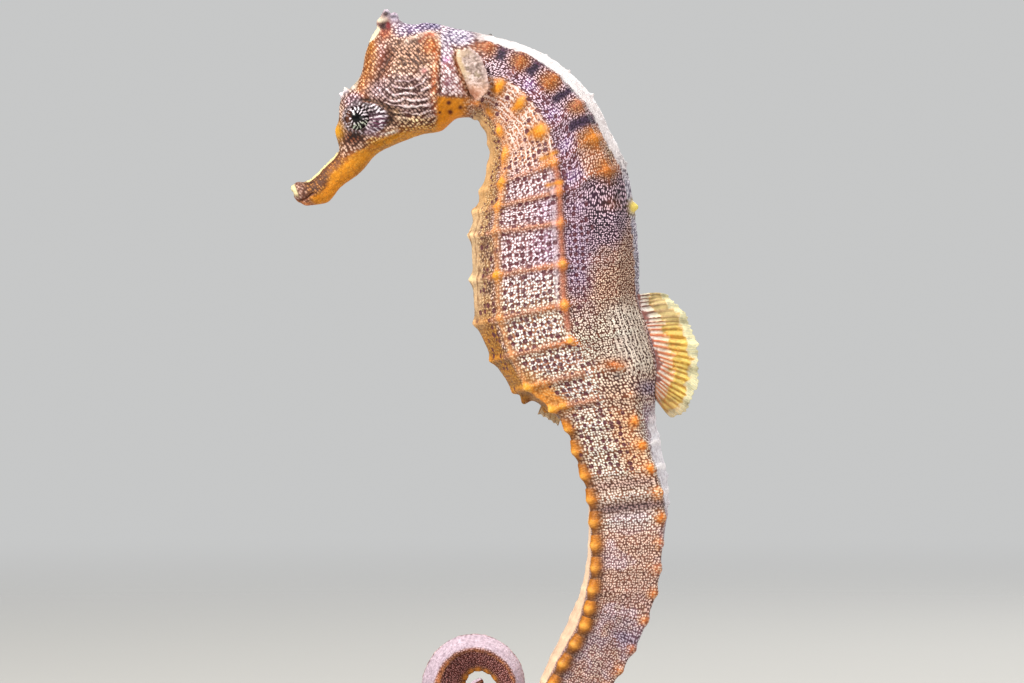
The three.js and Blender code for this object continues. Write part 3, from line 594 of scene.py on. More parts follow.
# lilac and dark dots beside the lateral ridge
beside = sstep(QN, 2.7, 3.5) * (1 - sstep(QN, 3.8, 4.0))
paint(t_ * beside * sstep(RN, 0.6, 1.6) * (1 - sstep(RN + 0.4 * n2, 7.0, 9.0)), C(98, 52, 70), C(236, 208, 230), d_=0.85, z_=0.8)
glow = gauss(GAP - 0.9, 1.1) * gauss(QN - 3.45, 0.36) * (1 - sstep(PH, 5.3, 6.0)) * sstep(PH, 0.8, 1.6)
paint(t_ * glow * 0.8, C(132, 86, 156), C(240, 222, 250), d_=0.35, z_=0.9)
paint(t_ * gauss(QN - 3.5, 0.4) * band(RN, 6.1, 7.6, 0.3) * 0.6, C(104, 66, 122), C(236, 218, 244), d_=0.8)
# side panels
side = band(QN, 4.02, 6.08, 0.08)
paint(t_ * side, C(160, 108, 108), C(255, 238, 248), d_=1.0, z_=1.0)
paint(t_ * side * (1 - sstep(RN, 3.6, 4.8)), C(198, 132, 94), C(255, 230, 222), d_=0.9, z_=0.6, l_=0.8, s_=0.7)
paint(t_ * side * (1 - sstep(RN, 2.4, 3.4)), d_=0.42)
paint(t_ * side * sstep(RN, 6.9, 8.0), C(186, 130, 98), C(255, 246, 232))
paint(t_ * side * band(RN, 5.1, 7.2, 0.2) * gauss(QN - 4.4, 0.5) * 0.7, C(166, 120, 160), C(240, 226, 250))
paint(t_ * band(QN, 3.6, 5.6, 0.3) * sstep(RN, 8.9, 9.6), C(188, 130, 102), C(255, 244, 232), d_=0.9, z_=0.9)
# belly strip
belly_ = sstep(QN, 6.12, 6.4)
paint(t_ * belly_, C(178, 134, 92), C(234, 204, 158), d_=0.6, z_=0.5, s_=0.8)
mott = sstep(fbm(P * 0.9, 41, 3), -0.12, 0.22)
paint(t_ * belly_ * mott * sstep(RN, 4.0, 5.4), C(104, 70, 56), C(206, 172, 142), s_=0.7)
paint(t_ * sstep(QN, 6.7, 7.3) * (1 - sstep(R, 8.6, 9.6)), C(218, 184, 140), C(244, 222, 186), s_=0.12, d_=0.05)
veins = sstep(np.cos(QN * 9.5 + 2.0 * vnoise(P * 0.5, 57)), 0.45, 0.9) * sstep(vnoise(P * 0.8, 58), -0.35, 0.1)
paint(t_ * sstep(QN, 6.3, 6.8) * (1 - sstep(R, 7.6, 8.8)) * veins * 0.75, C(128, 84, 54), s_=0.1)
paint(t_ * belly_ * sstep(RN, 7.4, 8.6), C(176, 114, 34), C(222, 170, 84), s_=0.4, d_=0.3)
paint(t_ * belly_ * sstep(RN, 7.8, 9.2) * mott * 0.6, C(96, 60, 20), s_=0.3)
# ring and long ridges
rl = gauss(DR + wob, 0.60 * SIZE + 0.06)
strip = band(Q, 3.95, 6.5, 0.08)
paint(t_ * rl * strip * (0.35 + 0.60 * lower), C(150, 102, 80), C(222, 178, 154), s_=0.65, d_=0.0, l_=0.0, z_=0.35)
paint(t_ * rl * band(Q, 1.4, 3.9, 0.2) * 0.30 * (1 - sstep(R, 5, 6)), RUST)
lat = gauss(lr[4] + 0.1 * n2, 0.56)
paint(t_ * lat * band(RN, 4.4, 8.7, 0.2), C(154, 94, 74), C(208, 152, 126), s_=0.4, d_=0.0, z_=0.3)
paint(t_ * ell(517, 383, 17, 15, 4) * sstep(QN, 4.9, 5.5), C(190, 126, 30), C(226, 174, 84), s_=0.35, d_=0.15)
paint(t_ * gauss(lr[4] - 0.95, 0.30) * band(RN, 4.6, 8.0, 0.2) * 0.8, C(238, 220, 236), s_=0.4, d_=0.1)
paint(t_ * gauss(lr[6] + 0.15 * n2, 0.72), C(174, 122, 84), C(228, 188, 150), s_=0.6, d_=0.1, l_=0.0, z_=0.3)
paint(t_ * gauss(lr[6] + 0.15 * n2, 0.72) * (1 - sstep(RN, 4.6, 5.6)), C(206, 126, 48), C(238, 184, 118), s_=0.55)
paint(t_ * gauss(lr[6] + 0.15 * n2, 0.9) * (1 - sstep(RN, 4.6, 5.6)) * gauss(GAP - 0.3, 0.9) * 0.8, C(196, 140, 108), C(240, 210, 190), s_=0.8, d_=0.5)
# orange on the knobs, ring by ring
LAT_C = per_ring_value({0: .2, 1: 1, 2: 1, 3: 1, 4: 1, 5: .45, 6: .5, 7: .95, 8: 1, 9: .95, 10: .7, 11: .2})
INF_C = per_ring_value({0: .2, 1: .5, 2: .8, 3: .7, 4: .8, 5: .7, 6: .15, 7: 1, 8: .35, 9: .25, 10: 1, 11: 1})
paint(t_ * knob(4, 1.0, 1.35, 2.8, off=0.75) * LAT_C * (1 - lower), C(212, 130, 8), C(238, 178, 84), s_=0.45, z_=0.15, d_=0, l_=0)
paint(t_ * knob(4, .72, 2.9, 2.6, off=1.5) * LAT_C * lower * 0.55, C(184, 108, 48), s_=0.5, d_=0)
paint(t_ * knob(4, .95, .80, 2.6) * LAT_C * lower, C(222, 130, 32), s_=0.3, z_=0.1, d_=0)
# pale peach centre on each lateral knob: painted highlight
paint(t_ * knob(4, .40, .34, 2.0) * LAT_C * 0.35, C(246, 186, 110))
paint(t_ * knob(6, 1.0, .95, 2.4) * INF_C, C(224, 142, 20), s_=0.2, d_=0)
vent = t_ * band(Q + 0.15 * n2, 5.2, 6.3, 0.25) * sstep(RN, 9.5, 10.3)
paint(vent * 0.9, C(232, 146, 44), C(244, 190, 110), s_=0.25, d_=0)
paint(np.exp(-(((U - 526) / 5.0) ** 2 + ((W - 399) / 5.0) ** 2)), C(84, 54, 26), s_=0.1)
paint(t_ * blob(613, 364, 13, 5.5) * FLAT * 0.95, C(172, 94, 44), C(222, 160, 112), s_=0.7, d_=0)
paint(t_ * (blob(617, 375, 4.5, 5.5) + blob(627, 357, 5, 6)) * FLAT * 0.85, C(66, 30, 36), s_=0.4)
paint(t_ * blob(648, 388, 12, 9) * 0.9, C(56, 34, 66), C(214, 198, 226), s_=0.9)
# patches and dark bars along the upper ridge
patch_g = np.stack([np.interp(PH, [0, 1, 2, 3, 4, 5], c) for c in
                    np.array([C(118, 60, 36), C(150, 80, 30), C(164, 90, 26), C(146, 84, 56), C(184, 110, 20), C(164, 92, 28)]).T], -1)
down = np.interp(PH, [0, 1, 2, 3, 4, 5], [0.7, 1.4, 1.3, 0.4, -0.1, -0.3])
wide_ = np.interp(PH, [3.4, 3.7, 4.4, 5.2], [1.0, 1.4, 1.4, 1.2])
pk = np.exp(-((DR / 1.65 / wide_) ** 2 + ((lr[2] - down) / 1.9 / wide_) ** 2) ** 1.5) * (1 - sstep(R, 5.6, 5.9))
paint(t_ * pk, patch_g, C(236, 176, 110), s_=0.45, z_=0.15)
paint(t_ * knob(2, .75, .7, 2.4, off=-0.3) * (1 - sstep(R, 5.6, 5.9)) * 0.8, patch_g * 0.92, s_=0.1)
bar = np.exp(-(((GAP + 0.25 + 0.35 * fbm(P * 1.4, 34, 2) + 0.30 * (QN - 2.4)) / 0.80) ** 4)) * band(QN, 0.5, np.interp(PH, [0, 1, 2, 3, 4.5], [2.95, 3.0, 3.05, 3.1, 3.0]), 0.22) * (1 - sstep(PH, 4.1, 4.4)) * sstep(R, 0.3, 0.5)
paint(t_ * bar * 0.96, INK, C(92, 62, 110), s_=0.25)
paint(t_ * np.exp(-(((GAP) / 1.3) ** 2)) * band(QN, 0.8, 1.4, 0.15) * (1 - sstep(PH, 4.1, 4.6)) * 0.6, C(60, 30, 50), s_=0.6)
paint(t_ * np.exp(-(((GAP) / 1.3) ** 2)) * band(QN, 0.8, 1.6, 0.2) * band(PH, 4.1, 4.9, .2) * 0.7, C(66, 44, 34), C(200, 176, 130), s_=0.8)
# some of the upper knobs draw out into short bars
for pts, w_ in (([(494, 92), (502, 87)], 2.6), ([(513, 111), (520, 105)], 2.8), ([(528, 136), (540, 129)], 3.0), ([(541, 161), (556, 154)], 3.0), ([(547, 187), (561, 184)], 2.8)):
    paint(t_ * FLAT * stroke(pts, w_) * 0.9, C(214, 134, 26), C(238, 172, 74), s_=0.2, d_=0)
# white line along the back
edge_w = np.interp(R, [-2.0, -0.5, 0.2, 0.75, 1.3, 1.8, 2.4, 2.7, 3.0, 3.4, 3.8, 4.4, 5.2, 7.5, 9.0], [1.4, 1.8, 2.6, 3.4, 3.6, 3.8, 3.7, 3.3, 3.0, 2.75, 2.6, 2.5, 1.7, 1.3, 0.8])
ragged = fbm(P * 2.2, 53, 2)
wl = 1 - sstep(T + 0.35 * n2 + 0.2 * n1 + 0.40 * ragged, edge_w - 0.25, edge_w + 0.25)
back_ = sstep(R, -0.6, 0.3) * (1 - sstep(R, 11.0, 11.8))
paint(back_ * wl, C(240, 236, 240), C(252, 250, 254), d_=0.0, s_=0.16, z_=0.4)
paint(back_ * wl * sstep(fbm(P * 1.5, 54, 3), 0.05, 0.4) * 0.45, C(204, 194, 196))
# greyer toward the lower edge of the white band: painted shade
paint(back_ * wl * sstep(T, edge_w - 0.9, edge_w) * 0.3, C(212, 200, 202))
paint(back_ * band(T, edge_w + 0.15, edge_w + 0.75, 0.15) * band(R, 0.5, 3.8, 0.3) * sstep(n2, -0.5, 0.2) * 0.75, C(80, 36, 44), s_=0.4)
speck = sstep(fbm(P * 2.0, 51, 2), -0.05, 0.25)
paint(back_ * wl * sstep(R, 4.8, 5.4), C(150, 146, 172), C(234, 230, 244), s_=0.85, z_=0.8)
paint(back_ * wl * sstep(R, 4.3, 5.2) * speck * 0.8, C(72, 62, 84), s_=0.7)
paint(back_ * wl * sstep(R, 7.6, 8.4), C(96, 66, 66), C(224, 200, 200), s_=0.85)
paint(np.exp(-(((U - 633) / 4.2) ** 2 + ((W - 207) / 6.5) ** 2)) * 1.4 * (Q < 1.3), C(238, 214, 110), C(244, 226, 150), s_=0.1)

# tail
a_ = TAIL
paint(a_, C(146, 96, 70), C(255, 246, 232), z_=1.0)
paint(a_ * (1 - sstep(RN, 13.8, 14.6)) * sstep(QN, 2.4, 3.2), d_=0.7)
paint(a_ * band(QN, 1.9, 3.7, 0.5) * (1 - sstep(RN, 13.6, 14.6)), C(168, 96, 56), C(242, 204, 168))
paint(a_ * sstep(RN, 15.9, 16.7), C(150, 100, 84), C(244, 212, 196), z_=0.7, s_=1.0)
paint(a_ * sstep(RN, 18.3, 20.0), C(144, 96, 88), C(236, 202, 196), z_=0.65, s_=1.0)
paint(a_ * sstep(RN, 15.9, 17.0) * sstep(fbm(P * 0.38, 44, 2), -0.05, 0.25) * (1 - sstep(RN, 27, 29)) * 0.6, C(150, 118, 138), C(246, 230, 242), z_=0.8)
mauve = sstep(fbm(P * 0.6, 43, 2), -0.05, 0.3)
paint(a_ * sstep(RN, 16.5, 18) * mauve * 0.5, C(152, 98, 74), C(240, 210, 186))
paint(a_ * gauss(R - 14.50, 0.22) * band(QN, 0.5, 5.6, 0.4) * 0.75, C(78, 38, 34), C(214, 180, 170))
paint(a_ * gauss(R - 15.45, 0.22) * band(QN, 0.5, 5.6, 0.4), C(56, 32, 34), C(190, 160, 160), s_=0.6)
paint(a_ * gauss(R - 15.9, 0.26) * band(QN, 2.9, 5.0, 0.5) * 0.75, C(140, 116, 130), C(242, 234, 246), z_=0.8)
paint(a_ * gauss(R - 20.75, 0.40) * band(QN, 0.4, 4.0, 0.7) * 0.8, C(96, 72, 104), C(200, 186, 214))
paint(a_ * (gauss(R - 26.5, 0.6) + gauss(R - 32.0, 0.6)) * band(QN, 0.5, 5.7, 0.4) * 0.6, C(84, 54, 62), C(196, 172, 176))
tailspot = sstep(fbm(P * 0.85, 47, 2), 0.12, 0.38)
paint(a_ * rl * band(QN, 2.4, 5.2, 0.3) * tailspot * 0.8, C(110, 62, 44), s_=0.7)
paint(a_ * gauss(DR + wob, 0.30 * SIZE) * band(QN, 2.0, 5.4, 0.4) * sstep(n1 + n2, -0.4, 0.3) * 0.5, C(118, 70, 54))
coil = sstep(RN, 27.5, 30.5)
paint(a_ * coil * band(QN, 1.9, 6.6, 0.3), C(92, 38, 28), C(192, 132, 130), z_=0.3)
paint(a_ * coil * sstep(QN, 4.6, 6.2), C(96, 56, 34), C(182, 138, 96), s_=0.6)
# patches along the upper tail ridge
SUP_T = 1 - 0.25 * sstep(R, 15.6, 17)
kp = np.exp(-(((DR - 0.1) / (1.0 * SIZE + .05)) ** 2 + ((lr[2] - 0.30) / (0.85 * SIZE + .05)) ** 2) ** 1.1)
paint(a_ * kp * (SUP_T - 0.15 * sstep(R, 16.5, 18)) * sstep(n2 + 0.4 * n3, -0.8, 0.0) * (1 - sstep(R, 25, 27)), C(204, 114, 26), C(240, 174, 92), s_=0.4)
paint(a_ * gauss(GAP + 0.3, 0.45) * gauss(lr[2], 0.6) * (1 - sstep(R, 22, 24)) * 0.5, C(96, 52, 44))
paint(a_ * gauss(lr[2] - 0.3, 0.42 * SIZE + .08) * sstep(R, 25.5, 28) * (0.35 + 0.65 * sstep(n1 + n2, -0.2, 0.4)), C(216, 136, 84), C(240, 190, 150), s_=0.3)
# the row of knobs along the lower ridge
row = gauss(low6 - 0.1, 0.95 * SIZE + 0.05)
# brown ground of the lower ridge: its own colour, kept dark between the knobs as painted shade
paint(a_ * row, C(124, 72, 26), C(196, 134, 64), s_=0.25, d_=0)
tk = tail_knob(1.20, 1.30, 2.4)
# dark band just behind each knob's steep end: painted shade under the knob
paint(a_ * np.exp(-(((DR - 1.05 * SIZE) / (0.50 * SIZE)) ** 2)) * gauss(low6 - 0.15, 0.80 * SIZE) * 0.6, C(108, 62, 26), s_=0.2)
paint(a_ * tk, C(176, 106, 14), C(204, 140, 48), s_=0.3, z_=0.1, d_=0)
# pale centre on each knob: painted highlight
paint(a_ * np.exp(-(((DR + 0.02) / (0.52 * SIZE)) ** 2 + (low6 / (0.36 * SIZE)) ** 2)) * 0.5, C(238, 180, 84), s_=0.1)
# smooth belly of the tail, pale band on its back
tb = sstep(Q + 0.1 * n2 + np.where(SIDE < 0, 0.9 * band(R, 15.8, 25.5, 0.8), 0), 6.7, 7.05)
paint(a_ * tb, C(240, 206, 176), C(246, 222, 194), s_=0.0, d_=0, z_=0.3)
paint(a_ * tb * (1 - sstep(R, 12.5, 14.5)), C(166, 108, 58), s_=0.4)
paint(a_ * tb * coil, C(214, 150, 76), C(236, 190, 130), s_=0.25)
td = 1 - sstep(QN, 1.15, 1.75)
paint(a_ * td, C(150, 126, 142), C(226, 212, 226), s_=0.85, z_=0.5)
tw = 1 - sstep(T + 0.3 * n2 + 0.25 * n1 + 0.8 * ragged, np.interp(R, [11.2, 12, 12.7, 13.4, 15.2, 16.4], [0.5, 2.3, 2.8, 3.6, 3.4, 0.7]) - 0.3,
               np.interp(R, [11.2, 12, 12.7, 13.4, 15.2, 16.4], [0.5, 2.3, 2.8, 3.6, 3.4, 0.7]) + 0.3)
paint(a_ * tw * band(R + 0.5 * ragged, 11.7, 15.9, 0.7) * (0.80 + 0.20 * sstep(n2 + n3 + ragged, -0.5, 0.3)), C(238, 238, 250), C(254, 254, 255), s_=0.12, z_=1.0)
paint(a_ * td * band(RN, 16.8, 27, 0.6), C(132, 100, 106), C(222, 204, 212), s_=0.85)
paint(a_ * (1 - sstep(QN + 0.2 * n2, 1.45, 2.0)) * sstep(R, 28.0, 32.5), C(214, 200, 212), C(240, 232, 240), s_=0.35, z_=0.9)

# head
hm = HEAD
hf = HEAD * FLAT
paint(hm, C(112, 66, 44), C(240, 206, 186), z_=0.45)
paint(hf * blob(412, 56, 24, 17, 3), C(84, 42, 32), C(228, 180, 156), s_=0.95, z_=0.4)
paint(upper * streak * 0.35, C(206, 168, 128), s_=0.8)
paint(upper * (1 - streak) * 0.5, C(80, 48, 34))
nape = hm * (1 - sstep(W + 0.12 * (U - 400) + 4 * n1, 31, 44)) * sstep(U, 390, 404)
paint(nape, C(104, 82, 126), C(236, 224, 248), s_=1.0, z_=0.6)
paint(hm * sstep(fbm(P * 0.7, 61, 2), 0.10, 0.3) * nape * 0.7, C(70, 56, 108), s_=0.85)
paint(hm * np.exp(-(((U - 434) / 10) ** 2 + ((W - 26) / 4) ** 2)) * 0.9, C(44, 34, 84), C(196, 186, 226), s_=0.7)
# forehead and brow
paint(hm * np.exp(-(((U - 382) / 8) ** 2 + ((W - 58) / 16) ** 2)), C(134, 68, 50), C(240, 202, 204), z_=0.5)
paint(hm * np.exp(-((((U - 371) + 0.10 * (W - 52)) / 6.5) ** 2 + ((W - 52) / 15) ** 2) ** 1.3), C(170, 98, 20), C(226, 162, 76), s_=0.85, z_=0.3)
paint(hm * stroke([(372, 60), (368, 76), (363, 92), (366, 104)], 6.5), C(158, 88, 28), C(230, 170, 112), z_=0.3)
# dark brown along the hollow below the crown: painted shade in the recess
paint(hf * stroke([(390, 54), (386, 68), (378, 82), (373, 92)], 5.0) * 0.9, C(98, 50, 30), C(186, 124, 92), s_=0.55)
# crown
cz = hm * clamp01(1.6 * crown) * (W < 36)
paint(cz, C(150, 116, 132), C(240, 228, 240), s_=0.8, z_=0.45)
paint(cz * (1 - sstep(US, 388, 393)), C(150, 92, 76), C(236, 210, 196), s_=0.5)
paint(hm * ell(381.4, 20.0, 6.6, 3.4, 4), C(240, 230, 206), s_=0.0)
paint(hm * ell(387.5, 12.0, 6.0, 6.5), C(214, 204, 222), s_=0.0)
paint(hm * ell(395.0, 17.5, 5.2, 5.2), C(206, 196, 218), s_=0.0)
out_ = hm * (np.abs(P[..., 1]) > 0.4)
paint(out_ * clamp01(ell(386.4, 14.6, 3.7, 3.0, 3.4) * (1 - 0.85 * ell(389.4, 16.6, 1.8, 1.9))), C(46, 34, 44), s_=0.0)
paint(out_ * ell(386.0, 14.4, 2.0, 1.5, 3) * 0.8, C(22, 14, 26), s_=0.0)
paint(out_ * clamp01(ell(394.2, 17.6, 3.8, 2.4, 3.4) * (1 - 0.9 * ell(396.2, 20.0, 3.2, 2.2))), C(58, 44, 66), s_=0.0)
paint(hm * np.exp(-(((U - 384) / 4.5) ** 2 + ((W - 37) / 6) ** 2)) * 0.8, C(140, 58, 18), C(214, 130, 76), s_=0.5)
paint(hm * ell(387.0, 33.0, 5.5, 6.0) * 0.8, C(150, 58, 26), C(226, 146, 100), s_=0.6)
paint(hm * ell(385.2, 26.4, 7.4, 4.8, 4), C(42, 10, 12), s_=0.0)
paint(hm * ell(388.6, 26.2, 2.8, 4.0, 3.4), C(118, 10, 22), s_=0.0)
paint(clamp01(tips * 2.2) * hm * (US < 372), C(232, 224, 236), C(246, 240, 244), s_=0.1)
# pale edge down the front of the crown: its own cream colour, brightened along the front edge as a painted highlight
crown_edge_pale_and_highlight = hm * (1 - sstep(US - np.interp(WS, [24, 30, 33, 36, 40, 44, 50, 60, 88], [377, 380.5, 379.5, 378, 375, 368.5, 366.5, 364.5, 357.5]), -1.0, 1.0))
paint(crown_edge_pale_and_highlight * band(WS, 26, 90, 2.0) * (0.95 - 0.35 * sstep(WS, 48, 56)), C(236, 226, 196) * (1 - 0.25 * sstep(n2, 0.0, 0.6))[..., None], C(246, 236, 210), s_=0.1)
# nape knob and the ridge round it
paint(hf * blob(431, 48, 9.5, 12, 3), C(164, 84, 32), C(236, 184, 128), s_=0.75, z_=0.35)
paint(hf * stroke([(407, 44), (413, 40.5), (420, 38), (430, 34.5), (438, 38), (442, 48)], 2.8) * 0.75 * sstep(n2 + 0.5 * n3, -0.7, 0.1), C(222, 196, 180), C(244, 228, 220), s_=0.6)
paint(hf * stroke([(421, 43), (427, 37.5), (434, 38)], 2.2) * 0.8, C(172, 84, 52), s_=0.1)
paint(hf * blob(436, 54, 4, 5) * 0.9, C(180, 84, 20), s_=0.3)
# gill cover
ck = hf * cheek
paint(ck, C(100, 56, 58), C(242, 214, 222), s_=0.9, z_=0.5)
paint(hf * blob(383, 92, 10, 8) * 0.9, C(104, 68, 84), C(234, 214, 238), z_=0.8, s_=1.0)
paint(ck * cheek_line * 0.85, C(214, 186, 194), C(252, 236, 242), s_=0.9, z_=0.8)
paint(ck * cheek_line * blob(417, 110, 24, 15) * 0.7, C(236, 218, 218), s_=0.3)
paint(ck * (1 - cheek_line) * 0.8, C(70, 36, 32), C(214, 176, 160), s_=0.6, z_=0.3)
paint(ck * (1 - cheek_line) * sstep(U, 402, 414) * sstep(W, 92, 100) * sstep(vnoise(P * 0.9, 29), -0.3, 0.2) * 0.8, C(104, 44, 58), C(214, 160, 164), s_=0.35)
low_ck = sstep(W - 0.2 * (U - 400), 106, 114) * (1 - sstep(U - 0.4 * (W - 115), 398, 408))
paint(ck * low_ck * (1 - cheek_line) * 0.85, C(46, 24, 14), C(196, 152, 84), s_=0.35)
paint(ck * low_ck * cheek_line * 0.75, C(200, 158, 84), C(240, 208, 150))
paint(hf * blob(425, 73, 4.4, 3.8, 3) * 0.6, C(212, 176, 176), C(246, 224, 226), s_=0.8, z_=0.8)
paint(hf * blob(425, 73.5, 2.8, 2.4, 3) * 0.8, C(150, 82, 80), C(196, 130, 128), s_=0.3)
# behind the gill cover
bar2 = hf * stroke([(436, 60), (435, 80), (434, 100), (438, 112)], 4.6)
paint(bar2, C(168, 88, 46), C(246, 206, 172), s_=0.9, z_=0.45)
rear = hm * sstep(U + 1.2 * n1, 440, 443) * (1 - sstep(U - 0.30 * (W - 60) + 1.0 * n1, 453.5, 457.5))
paint(rear * (1 - sstep(W + 3 * n1, 92, 100)), C(158, 104, 104), C(250, 230, 236), s_=1.0, z_=0.8)
paint(rear * (1 - sstep(W + 2 * n1, 58, 68)), C(150, 122, 146), C(248, 238, 250), s_=1.0, z_=0.9)
paint(rear * blob(446, 62, 5.5, 3.6) * 0.8, C(120, 64, 116), C(222, 164, 214), s_=0.7)
paint(rear * blob(449, 84, 4, 6) * 0.5, C(170, 120, 150), C(246, 226, 240))
grv = np.exp(-((U - 457 - 0.32 * (W - 62)) / 3.2) ** 2) * band(W, 56, 104, 4)
paint(hm * grv, C(196, 108, 46), C(236, 176, 120), s_=0.6)
# dark brown strip in the groove beside the pectoral fin: painted shadow of the fin
paint(FLAT * np.exp(-((U - 461.5 - 0.33 * (W - 66)) / 2.2) ** 2) * band(W, 62, 106, 5) * 0.9, C(112, 50, 22), s_=0.1)
paint(ell(483, 48, 12.5, 6.0, 3.4) * FLAT * 0.9, C(158, 86, 46), C(220, 164, 122), s_=0.55, d_=0)
paint(ell(459, 37, 17, 11, 5), C(106, 92, 132), C(234, 226, 246), s_=1.0, z_=0.85)
paint(np.exp(-(((US - 491) / 5.0) ** 2 + ((WS - 33.5) / 2.6) ** 2) ** 2), C(60, 58, 56), s_=0.1)
# jaw, throat, snout
jaw_w = np.interp(U, [345, 355, 365, 375, 385, 392, 400, 420, 435, 442], [158, 153, 148, 142.5, 138, 136, 133, 132, 130, 123])
jaw = hm * np.maximum(sstep(W - jaw_w + 2.0 * n1 + 1.2 * n2, -1.5, 1.5), sstep(QN, 6.9, 7.4))
paint(hf * ell(418, 125, 22, 8.5, 4), C(112, 58, 24), C(255, 218, 172), s_=1.0, z_=0.5)
paint(hf * sstep(W - jaw_w + 5.5 + 1.5 * n1, -2, 2) * band(U, 366, 442, 5) * 0.85, C(176, 100, 14), C(248, 200, 104), s_=0.9, z_=0.4)
paint(jaw * (1 - sstep(R, -1.4, -0.6)), C(208, 136, 12), C(238, 190, 80), s_=0.3)
paint(jaw * sstep(n1 + n2, 0.15, 0.6) * (1 - sstep(R, -1.4, -0.6)) * 0.6, C(128, 76, 16))
throat = hm * sstep(W - 0.06 * (U - 450) + 2.2 * n1, 96, 101) * sstep(U, 434, 440)
paint(throat, C(224, 140, 4), C(238, 176, 50), s_=0.15)
for u, v, s_ in ((449, 104, 2.5), (461, 108.5, 2.7), (450.5, 113, 2.7), (439.5, 113, 1.7)):
    paint(hf * blob(u, v, s_, s_ * .9, 2.6) * 1.15, C(92, 34, 14), s_=0.0)
sn = hm * (1 - sstep(R, -7.5, -6.5))
paint(sn, C(98, 54, 24), C(188, 128, 70), s_=0.75, z_=0.05)
gold = sstep(Q + 0.35 * n2 + 0.25 * n1, np.interp(R, [-10, -9, -8, -7], [4.4, 4.0, 3.2, 2.8]), np.interp(R, [-10, -9, -8, -7], [5.6, 5.2, 4.6, 4.4]))
paint(sn * gold, C(224, 140, 10), C(238, 176, 60), s_=0.25)
paint(hm * stroke([(330, 168), (345, 158), (360, 150), (372, 147)], 5) * 0.4, C(180, 106, 56))
paint(hm * stroke([(334, 177), (345, 169), (356, 163), (366, 157)], 5.5) * 0.9, C(226, 146, 14), C(240, 184, 72), s_=0.2)
paint(sn * (1 - sstep(T + 0.1 * n2, 0.45, 0.65)) * sstep(R, -9.35, -9.0), C(238, 222, 162), C(244, 232, 186), s_=0.1)
paint(sn * gauss(T - 0.90, 0.22) * band(R, -9.2, -7.3, 0.2) * 0.75, C(84, 46, 30), s_=0.2)
tip_ = hm * (1 - sstep(R, -9.62, -9.2))
paint(tip_, C(112, 70, 54), C(216, 178, 162), s_=0.6, z_=0.25)
paint(tip_ * sstep(Q, 5.6, 6.6), C(192, 112, 56), C(230, 168, 116), s_=0.4)
paint(hm * (1 - sstep(R, -9.93, -9.80)) * (1 - sstep(Q, 3.6, 5.4)), C(238, 226, 176), s_=0.05)
paint(hf * stroke([(300, 201), (307, 198.5), (313, 194)], 1.5) * (R < -9.0), C(112, 52, 22), s_=0.0)
paint(hm * np.exp(-(((U - 338.5) / 6.5) ** 2 + ((W - 132) / 10) ** 2)) * (Q < 2.6), C(222, 156, 16), C(240, 190, 70), s_=0.08)
paint(hf * ell(355, 102, 11, 9, 4) * 0.9, C(92, 52, 70), C(238, 208, 224), s_=0.95, z_=0.5)
# round the eye: pale dashes and dark gaps
er = np.hypot(U - 358, W - 119)
ea = np.arctan2(W - 119, U - 358)
near_eye = hf * (1 - sstep(er + 2.0 * n2 + 0.35 * np.maximum(0, 357 - U), 15, 20))
eyem = hf * (1 - sstep(orbit_e, 0.90, 1.05)) * sstep(U + 0.5 * np.abs(W - 119), 364, 372)
wv = 3.0 * fbm(P * 0.8, 71, 2) + 1.6 * fbm(P * 2.4, 72, 2)
ray = sstep(np.cos(ea * np.where(er > 24, 42, 32) + wv + 0.10 * er) + 0.25 * vnoise(P * 3.0, 74), -0.05, 0.55)
dash = sstep(vnoise(P * 2.4, 73) + 0.10, -0.15, 0.12)
ed = eye_dashes((U - 358) * UNIT, -(W - 119.3) * UNIT)
paint(np.maximum(eyem, near_eye * 0.85), C(30, 16, 20), C(190, 170, 186), s_=0.15, z_=0.3)
paint(near_eye * (1 - sstep(er, 17, 19)) * ed, C(240, 226, 234), s_=0.05)
paint(eyem * sstep(er, 16.5, 18.5) * ray * dash, C(240, 226, 240), s_=0.1)
pinkish = eyem * blob(378, 124, 12, 8) * (1 - ray)
paint(pinkish * 0.7, C(112, 56, 88), s_=0.2)
# dark brown in the groove round the orbit: painted shade in the groove
paint(hf * og * 0.9, C(58, 32, 22), C(170, 120, 90), s_=0.3)
paint(hf * stroke([(368, 134), (378, 136), (386, 134.5)], 2.4) * 0.7, C(150, 104, 116), C(240, 222, 232), s_=0.9, z_=0.6)
paint(hf * stroke([(387, 134.5), (393, 133.4), (398, 131.5)], 2.2) * 0.9, C(206, 170, 150), C(255, 244, 234), s_=1.0, z_=0.9)
# near-black patch below the eye: painted shadow
paint(hf * np.exp(-(((U - 354) / 11.5) ** 2 + ((W - 139) / 8.0) ** 2) ** 1.5), C(40, 10, 3), C(172, 92, 50), s_=0.4, z_=0.15)
paint(hf * blob(362, 146, 8, 3.5) * 0.6, C(84, 46, 30), C(236, 200, 176), s_=0.9)

paint(t_ * sstep(QN, 6.2, 6.8) * sstep(R, 8.4, 9.4) * 0.6, C(186, 116, 14), C(236, 184, 80))
paint(t_ * sstep(QN, 6.2, 6.8) * band(R, 0.8, 5.4, 0.6) * 0.6, C(204, 152, 84), C(240, 206, 150))

# painted shade in the hollows, painted light on the crests
cav_shade = np.clip(CAVITY_SHADE * 3.0, -0.5, 0.45)[..., None]
ground = np.clip(ground * (1 + cav_shade) * (1 - 0.14 * sstep(amount, 0.3, 0.9))[..., None], 0, 1)
bead = np.clip(bead * 1.06 * (1 + 0.35 * cav_shade), 0, 1)
ground = np.minimum(ground, C(243, 241, 248))


dim = (a_ * coil * (1 - sstep(QN, 1.6, 2.2)))[..., None] * (1 - np.array([0.84, 0.79, 0.86]))
ground, bead = ground * (1 - dim), bead * (1 - dim)
dim = (a_ * band(R, 14.0, 16.0, 0.4) * band(QN, 2.2, 6.4, 0.3))[..., None] * (1 - np.array([0.86, 0.78, 0.77]))
bead = bead * (1 - dim)
lift = (t_ * band(R, 6.9, 10.9, 0.4) * band(QN, 3.8, 6.4, 0.3))[..., None] * 0.18
bead = np.clip(bead * (1 + lift), 0, 1)


